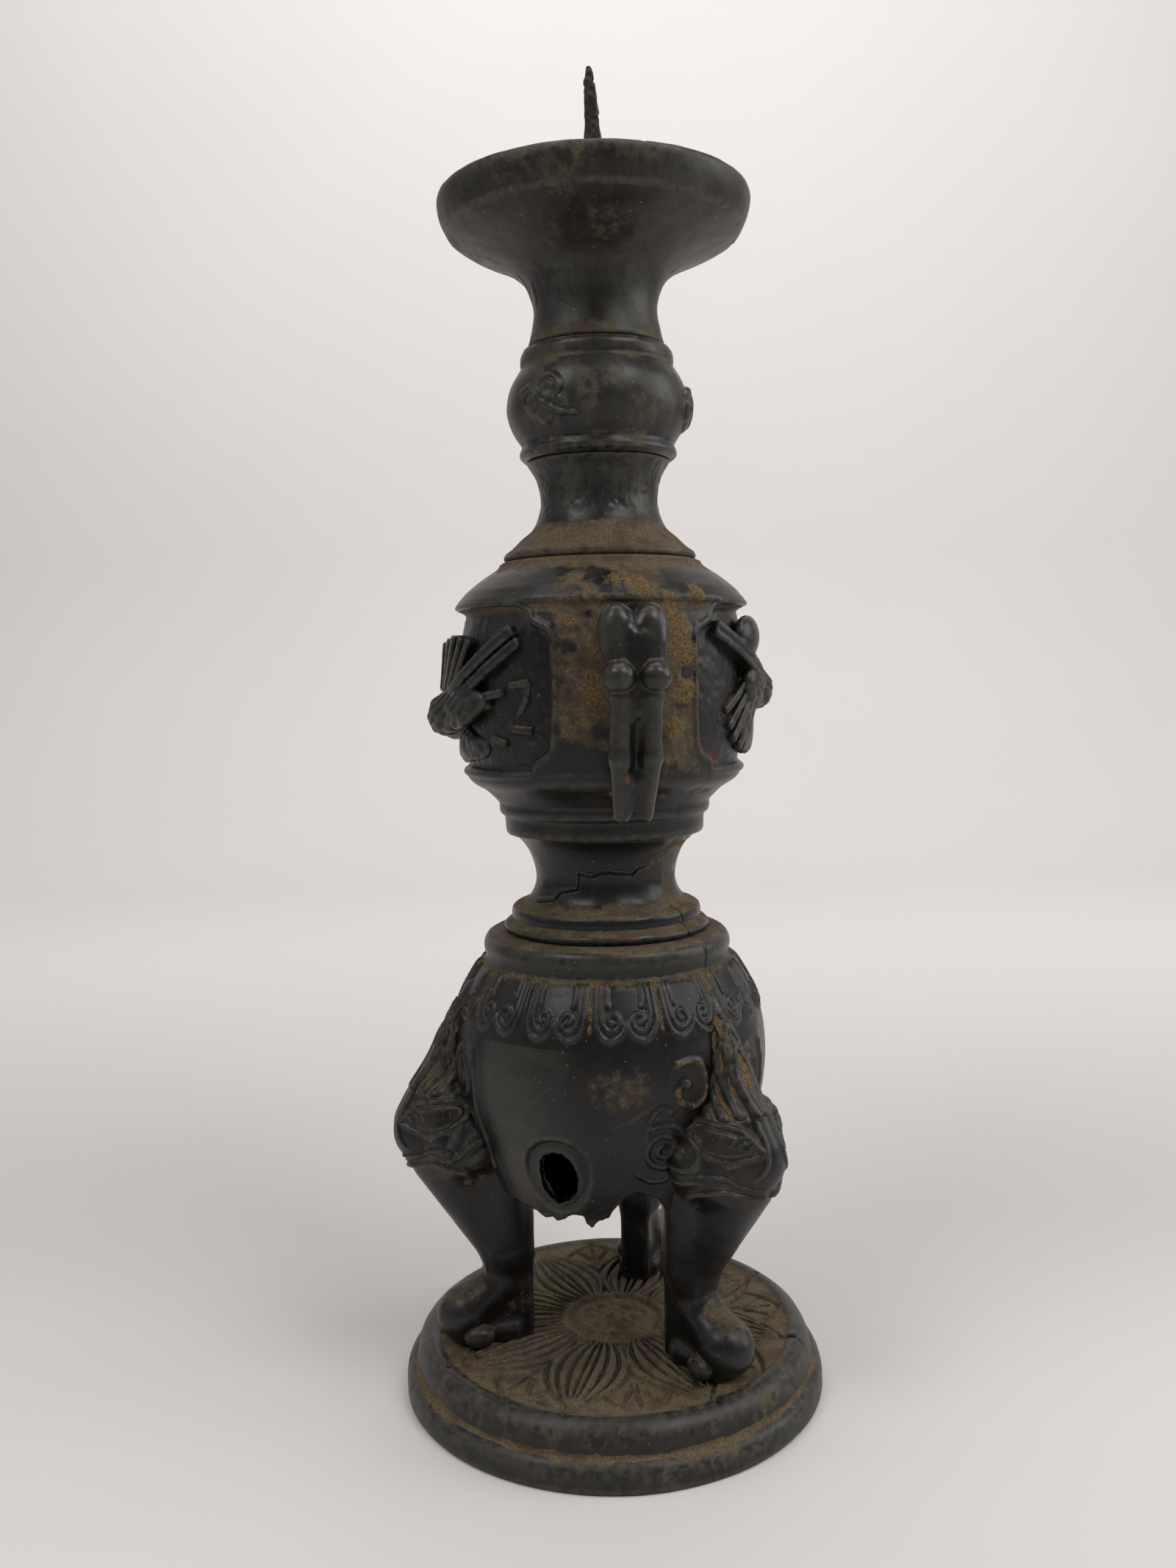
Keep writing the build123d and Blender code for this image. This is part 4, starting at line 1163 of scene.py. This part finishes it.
def plank(q, a, b, half):
    """A flat bar lying on the panel from a to b, each (across, up, outer radius at that end)."""
    a, b = np.array(a, float), np.array(b, float)
    length = np.hypot(*(b - a)[:2])
    d = (b - a)[:2] / length
    along = (q[:, 0] - a[0]) * d[0] + (q[:, 2] - a[1]) * d[1]
    across = (q[:, 2] - a[1]) * d[0] - (q[:, 0] - a[0]) * d[1]
    top = a[2] + np.clip(along / length, 0, 1) * (b[2] - a[2])
    bottom = UNDER_R - 0.05
    off_ends = np.abs(along - length / 2) - length / 2
    off_top = np.abs(q[:, 1] - (top + bottom) / 2) - (top - bottom) / 2
    return rounded(np.stack([off_ends, np.abs(across) - half, off_top], 1), 0.25)


def bird(node, bars, bulks, facing, hand):
    """One bird in high relief on its panel; across is measured round the vase, positive towards +X."""
    breast_z = bulks[0][0][2]

    def unrolled(p):
        angle, r, z = polar(p)
        return np.stack([hand * apart(angle, facing) * 30.0, r, z], 1)

    def distance(p):
        q = unrolled(p)
        shape = limb(q, (-1.0, 31.4, breast_z - 1), (-7.4, 30.0, breast_z - 4.0), 2.2, 1.3)
        shape = join(shape, *((blob(q, middle, radii), 2.0) for middle, radii in bulks))
        shape = join(shape, *((plank(q, a, b, half), 0.25) for a, b, half in bars))
        return np.maximum(shape, UNDER_R - q[:, 1])

    reach = np.array([0.4, 1.0]) * 30.4 * math.sin(facing)
    lowest = (-30.0, min(reach.min(), reach[1] - 5), 126.0)
    highest = (30.0, max(reach.max(), reach[1] + 5), 157.2)
    verts, faces = skin(distance, lowest, highest, 0.36)
    outward = gradient(distance, verts, 0.25)
    across, r, up = unrolled(verts).T
    grooves = np.zeros(len(verts))
    for a, b, half in bars:
        if half > 1.1:
            start, end = np.array(a[:2]), np.array(b[:2])
            d = (end - start) / np.linalg.norm(end - start)
            for place in (0.0,) if half < 2 else (-0.42, 0.38):
                aside = np.array([-d[1], d[0]]) * place * half
                line = np.array([start + 0.22 * (end - start) + aside, end - 0.6 * d + aside])
                grooves = np.maximum(grooves, ridge(across, up, line, 0.75))
    barbs = np.sin(2.6 * across - 2.6 * (up - breast_z)) + 0.5 * np.sin(1.1 * across + 1.9 * up)
    plumage = 0.18 * barbs * (1 - ease(np.hypot((across - 5) / 2.0, up - breast_z), 3.6, 5.2))
    rocks = 0.35 * layered(verts, 2.4, 74) * (up < breast_z - 3.5)
    relief = plumage + rocks + casting_waves(verts, 71, 0.14) - 0.45 * grooves * (r > 27.6)
    verts = verts + outward * relief[:, None]
    thing, normal = solid(node, verts, faces)
    r = polar(verts)[1]
    hollow = 1 - ease(r, 27.6, 29.6)
    lying = ease(normal[:, 2], 0.25, 0.95)
    wing_edge = hump(up - 144.5 - 0.62 * (across - 9.0), 0, 0.9) * hump(across, 9.5,
                                                                        3.5) * (bars is FRONT_BIRD)
    finish_piece(
        thing, STAND, node, "relief_bronze", patina(node + "_patina", dust=0.75, worn=0.95, pits=0.7),
        dust=0.35 * lying + 0.2 * hollow,
        ochre=0.5 * hollow * patches(verts, 3.5, 72, 0.0, 0.5) + 0.3 * lying * patches(verts, 4, 73, 0.1, 0.6)
        + 0.7 * wing_edge,
        grey=0.4 * ease(r, 30.5, 33.5) + 0.1,
        black=0.6,
    )


# ---- handles
# rods of one side of a handle: out, aside, up at both ends, and their radii
HANDLE = (
    ((28.5, 1.6, 153.6), (33.8, 2.0, 152.0), 2.9, 3.0), ((35.0, 2.9, 149.0), (36.2, 2.6, 140.0), 2.9, 2.0),
    ((36.2, 2.6, 140.0), (34.7, 2.75, 129.5), 2.0, 1.85), ((34.7, 2.75, 129.5),
                                                           (31.4, 2.1, 119.2), 1.85, 1.5),
    ((35.8, 0.5, 142.0), (31.5, 0.5, 120.6), 1.6, 1.2), ((32.6, 1.2, 125.4), (27.6, 1.2, 126.2), 2.0, 2.2),
    ((35.6, 0.0, 150.0), (36.2, 0.0, 138.0), 2.5, 1.7),
)


def handle_distance(p):
    """An ear handle in its own frame, x out, y across, z up: two lobes, two balls and two tails."""
    q = folded(p)
    shape = join(
        blob(q, (33.9, 2.9, 151.4), (3.6, 3.5, 4.9)),
        *((limb(q, *rod), 1.2) for rod in HANDLE),
        (blob(q, (37.4, 3.15, 143.5), (2.85, 2.85, 2.85)), 0.4),
    )
    notch = limb(p, (36.4, 0.2, 158.0), (39.2, -0.1, 149.0), 0.6, 0.35)
    return -join(-shape, (notch, 0.9))


def handles():
    verts, faces = skin(handle_distance, (25.8, -7.6, 116.8), (41.2, 7.6, 159.0), 0.25)
    outward = gradient(handle_distance, verts, 0.2)
    bumps = casting_waves(verts, 81, 0.14) + 0.05 * noise(verts, 1.2, 82)
    verts = verts + outward * bumps[:, None]
    x, y, z = verts.T
    inner = 1 - ease(x, 29.5, 32.5)
    speck = hump(y, -1.6, 0.55) * hump(z, 125.8, 0.9) * (x > 33)
    material = patina("handle_patina", dust=0.6, gloss=0.30, worn=0.6, pits=0.6)
    for node, side in (("right_handle", 0.0), ("left_handle", math.pi)):
        placed = turn(verts, VASE_TURN + side)
        thing, _ = solid(node, placed, faces)
        finish_piece(
            thing, STAND, node, "handle_bronze", material,
            dust=0.5 * inner + 0.3 * patches(placed, 4, 83, 0.2, 0.6) * ease(z, 145, 150),
            ochre=0.6 * inner * patches(placed, 3, 84, -0.2, 0.4),
            rust=1.1 * speck * (side == 0),
            grey=0.75 * ease(np.abs(y), 1.2, 3.4) + 0.15,
            # painted shade: the valley between the handle's two halves is made black
            black=0.9 * (1 - ease(np.abs(y), 0.8, 2.4)),
        )


# ---- upper stem
CLOUD_PUFFS = ((-2.2, -0.4, 2.0), (0.8, 1.5, 2.2), (2.4, -1.1, 1.6), (-0.2, -1.7, 1.9))
CLOUD_LINES = (
    (spiral((-2.0, -0.3), 1.9, 0.4, 1.4, 20), 0.8), (spiral((1.0, 1.3), 2.1, 0.4, 1.5, 200, -1), 0.8),
    (curve([(-4.4, 1.5), (-2.6, 2.0), (-0.8, 0.3), (1.8, -1.7), (4.6, -2.3)]), 0.9),
)


def highlight_strips(angle, z):
    """Painted highlights: two upright strips left and right of the front, 0 to 1."""
    both = hump(apart(angle, VIEW_FROM - 0.50), 0, 0.26) + hump(apart(angle, VIEW_FROM + 0.55), 0, 0.32)
    return both * patches(np.stack([angle * 15, z * 0.5, z * 0.5], -1), 3.0, 130, -0.9, 0.3, 3)


def neck_cap():
    foot, head = VASE_TOP, KNOP_FOOT
    path = outline(
        (5.5, foot - 9.0),
        (1.7, (9.0, foot - 9.0)),
        (3.0, (9.0, foot)),
        (2.4, (18.4, foot)),
        (0.25, (18.9, foot + 0.7), (18.7, foot + 1.5), (17.9, foot + 2.1)),
        (0.28, (17.2, foot + 2.6), (15.4, foot + 4.4), (12.9, foot + 6.8), (11.5, foot + 11.4),
         (12.2, foot + 16.0),
         (14.1, head)),
        (1.5, (8.0, head)),
        (2.3, (8.0, head + 4.6)),
        (1.3, (5.5, head + 4.6)),
        (7.0, (5.5, foot - 9.0)),
    )

    def shift(angle, r, z, points):
        gritty = 0.1 * noise(points, 0.9, 91) * ease(foot + 7, z, z - 3)
        return (casting_waves(points, 92, 0.14) + gritty) * (r > 10.5) * (z > foot + 0.1) * (z < head - 0.1)

    thing, verts, normal, angle, r, z = turned_piece("neck_cap", path, 480, shift)
    flare = 1 - ease(z, foot + 5.0, foot + 9.5)
    finish_piece(
        thing, STEM, "neck_cap", "neck_bronze",
        patina("neck_patina", dust=0.85, gloss=0.38, streaks=0.8, pits=0.8, worn=0.9),
        dust=flare * (0.35 + 0.65 * ease(normal[:, 2], 0.2, 0.8)) * (z > foot + 1.2)
        + 0.9 * (z < foot + 0.9) * (r > 17.5) + 0.5 * flare * hump(apart(angle, 0.1), 0, 0.5),
        ochre=0.35 * flare * ease(normal[:, 2], 0.2, 0.7) * patches(verts, 5, 93, 0.0, 0.5, 3),
        grey=0.9 * ease(z, foot + 7, foot + 10),
        # painted highlight strips on the upper neck, in the worn-metal colour
        crest=0.95 * highlight_strips(angle, z) * ease(z, foot + 8, foot + 12) * (1 - ease(z, head - 4, head)),
    )


def clouds(angle, z):
    """Height of the three cloud scrolls round the knop, and their strokes (0 to 1)."""
    height, lines = 0.0, 0.0
    for centre in np.radians([-47, 73, 193]):
        u, v = apart(angle, centre) * 17.5 / 1.3, (z - KNOP_FOOT - 9.6) / 1.3
        puffs = [1 - ease(np.hypot(u - x, v - y), 0.6 * r, 1.1 * r) for x, y, r in CLOUD_PUFFS]
        stroke = strokes(u, v, CLOUD_LINES)
        height, lines = height + 0.6 * np.max(puffs, 0) + 0.5 * stroke, lines + stroke
    return height, lines


def knop():
    foot, head = KNOP_FOOT, KNOP_TOP
    path = outline(
        (8.05, foot),
        (1.5, (14.2, foot)),
        (0.25, (15.2, foot + 0.7), (15.4, foot + 1.5), (15.0, foot + 2.6), (14.95, foot + 3.2)),
        (0.28, (16.3, foot + 5.3), (17.4, foot + 8.0), (17.7, foot + 10.6), (16.9, foot + 14.2),
         (14.9, foot + 17.6)),
        (0.25, (14.8, foot + 18.1), (14.95, foot + 18.6), (14.8, foot + 20.2), (14.0, head)),
        (0, (14.5, head)),
        (1.5, (8.05, head)),
        (4.0, (8.05, head - 4.7), (12.6, head - 6.0), (12.6, foot + 6.0), (8.05, foot + 4.7), (8.05, foot)),
    )

    def shift(angle, r, z, points):
        relief = clouds(angle, z)[0] + casting_waves(points, 101, 0.16)
        return relief * (r > 14) * (z > foot + 0.3) * (z < head - 0.2)

    thing, verts, normal, angle, r, z = turned_piece("knop", path, 560, shift)
    belt = hump(z, foot + 3.0, 0.9) + hump(z, foot + 17.9, 0.8)
    finish_piece(
        thing, STEM, "knop", "knop_bronze",
        patina("knop_patina", dust=0.6, gloss=0.36, streaks=0.5, pits=0.9, worn=0.9, hollows=0.3),
        dust=0.3 * belt * patches(verts, 4, 105, -0.3, 0.3, 3) + 0.5 * ease(normal[:, 2], 0.5, 0.9) * (r > 14)
        + 0.6 * patches(verts, 5, 104, -0.2, 0.4, 3),
        ochre=0.6 * belt * patches(verts, 4, 102, -0.05, 0.45, 3),
        rust=0.35 * patches(verts, 2.2, 103, 0.45, 0.7) * (z < foot + 9),
        grey=0.95 * ease(z, foot + 3, foot + 6),
        # painted highlight strips round the middle, and wear on the cloud strokes
        crest=0.8 * highlight_strips(angle, z) * hump(z, foot + 10.5, 4.5) + 0.5 * clouds(angle, z)[1],
    )


def drip_pan():
    foot, floor_z, rim = KNOP_TOP, PAN_FLOOR, PAN_RIM
    path = outline(
        (5.5, foot - 4.6),
        (1.3, (8.0, foot - 4.6)),
        (2.3, (8.0, foot)),
        (1.4, (13.4, foot)),
        (0, (13.6, foot)),
        (0.42, (12.6, foot + 3.6), (12.0, foot + 7.8), (12.7, foot + 11.0), (14.0, foot + 13.6),
         (16.4, foot + 15.7), (20.0, foot + 17.7), (25.2, foot + 20.1), (28.4, foot + 22.0)),
        (0.34, (29.7, 231.4), (PAN_R - 0.1, 233.8), (29.9, rim - 0.35), (29.3, rim), (28.7, rim - 0.6)),
        (0.45, (28.0, 231.2), (26.4, 229.4), (24.4, floor_z)),
        (0.6, (3.0, floor_z)),
        (4.0, (3.0, 216.0)),
        (3.0, (5.5, 216.0), (5.5, foot - 4.6)),
    )

    def shift(angle, r, z, points):
        hammered = 0.10 * layered(points, 7.0, 111, 2) * ease(r, 14, 20)
        drip = 0.15 * patches(points * (1, 1, 0.25), 2.2, 112, 0.3, 0.7) * (z < 222) * (r > 9)
        chips = -0.35 * patches(points, 2.6, 113, 0.35, 0.7, 3) * ease(z, rim - 0.8, rim)
        inside = (z < rim - 0.7) & (z > floor_z - 0.3) & (r < 28.2)
        crust = 0.25 * patches(points, 4.0, 114, 0.0, 0.5, 3) * inside
        waves = casting_waves(points, 115, 0.16)
        return (waves + hammered + drip + chips + crust) * (r > 3.2) * (z > foot + 0.1)

    thing, verts, normal, angle, r, z = turned_piece("drip_pan", path, 560, shift, 3,
                                                     rim + 0.15)
    inside = (r < 28.9) & (z > floor_z - 0.4) & (normal[:, 2] > 0.1)
    # painted highlight strips on the pan's neck, made grey and worn-looking
    rubbed_and_highlit = (1 - ease(r, 13.0, 16)) * (z < 224) * highlight_strips(angle, z)
    # painted sheen: the pan's side to the right of the camera is made lighter grey, with less dust and some
    # painted highlight
    right_side_sheen = ease(apart(angle, VIEW_FROM) + 0.25 * noise(verts, 6, 117), 0.35, 0.5) * (r > 14) * (1 - inside)
    top_smear = hump(apart(angle, VIEW_FROM), 0, 0.5) * hump(z, 233.4, 2.0)
    finish_piece(
        thing, STEM, "drip_pan", "pan_bronze",
        patina("pan_patina", ground=UMBER, dust=0.7, gloss=0.42, streaks=0.5, worn=0.9, hollows=0.15),
        dust=0.75 * inside + 0.5 * patches(verts, 7, 118, -0.35, 0.35, 3) * (1 - 0.9 * right_side_sheen) * (r > 14)
        + 0.5 * top_smear + 0.95 * hump(z, foot + 1.4, 1.8) * patches(verts, 5, 119, -0.5, 0.2),
        ochre=0.35 * inside * patches(verts, 6, 116, 0.0, 0.5, 3),
        rust=0.5 * inside * hump(r, 0, 6.0),
        grey=np.clip(0.35 + 0.6 * right_side_sheen + 0.6 * rubbed_and_highlit, 0, 1),
        crest=0.9 * rubbed_and_highlit + 0.35 * right_side_sheen * patches(verts, 5, 131, -0.5, 0.3, 3),
    )


def pricket():
    foot, tip = PAN_FLOOR, TIP
    path = outline(
        (0.03, foot - 0.4),
        (0.8, (2.75, foot - 0.4)),
        (0.3, (2.6, foot + 2.5), (2.15, foot + 10), (1.6, foot + 20), (0.95, tip - 2.2), (0.72, tip - 0.5)),
        (0.2, (0.4, tip), (0.03, tip)),
        (8.0, (0.03, foot - 0.4)),
    )

    def warp(angle, r, z):
        corner = 1 / np.maximum(np.abs(np.cos(angle + 0.3)), np.abs(np.sin(angle + 0.3)))
        return r * (0.35 + 0.6 * corner), z

    def shift(angle, r, z, points):
        scale = 0.42 * layered(points * (1, 1, 0.6), 1.5, 121) - 0.3 * patches(points, 0.9, 122, 0.2, 0.7)
        return scale * (r > 0.2)

    verts, faces = turned(path, 96, shift, warp)
    lift = (verts[:, 2] - foot) / (tip - foot)
    verts[:, :2] += (0.25 * np.sin(3.0 * lift) - 0.55 * lift**2)[:, None] * SIDE[:2]
    verts[:, 2] = np.minimum(verts[:, 2], tip)
    thing, _ = solid("pricket", verts, faces)
    finish_piece(
        thing, STEM, "pricket", "pricket_iron", patina("pricket_rust", UMBER, dust=0.5, gloss=0.6, pits=1.8),
        dust=0.25,
        rust=0.36 * patches(verts, 2.0, 123, 0.0, 0.5, 3) + 0.25 * (1 - ease(lift, 0.0, 0.15)),
        grey=0.6 * patches(verts, 1.6, 124, 0.0, 0.5),
    )


def small_nodes():
    """The rivets' feet and the plug keep their CAD shapes."""
    for node, tone, roughness in (("leg_rivets", (0.02, 0.016, 0.012), 0.55),
                                  ("chaplet_plug", (0.006,) * 3, 0.6)):
        n = Nodes(node + "_patina", roughness)
        n.colour(n.mix(n.grain(1.2).step(0.4, 0.65), tone, shaded(tone, 2.2)))
        n.roughen(n.grain(0.6), 0.4, 0.2)
        for place in frame["nodes"][node].material_slots:
            place.material = n.material


camera()
paper()
studio()
base_plate()
pedestal()
bell()
legs()
vase()
bird("front_panel_relief", FRONT_BIRD, FRONT_BULKS, VASE_TURN - math.pi / 2, 1)
bird("back_panel_relief", BACK_BIRD, BACK_BULKS, VASE_TURN + math.pi / 2, -1)
handles()
neck_cap()
knop()
drip_pan()
pricket()
small_nodes()
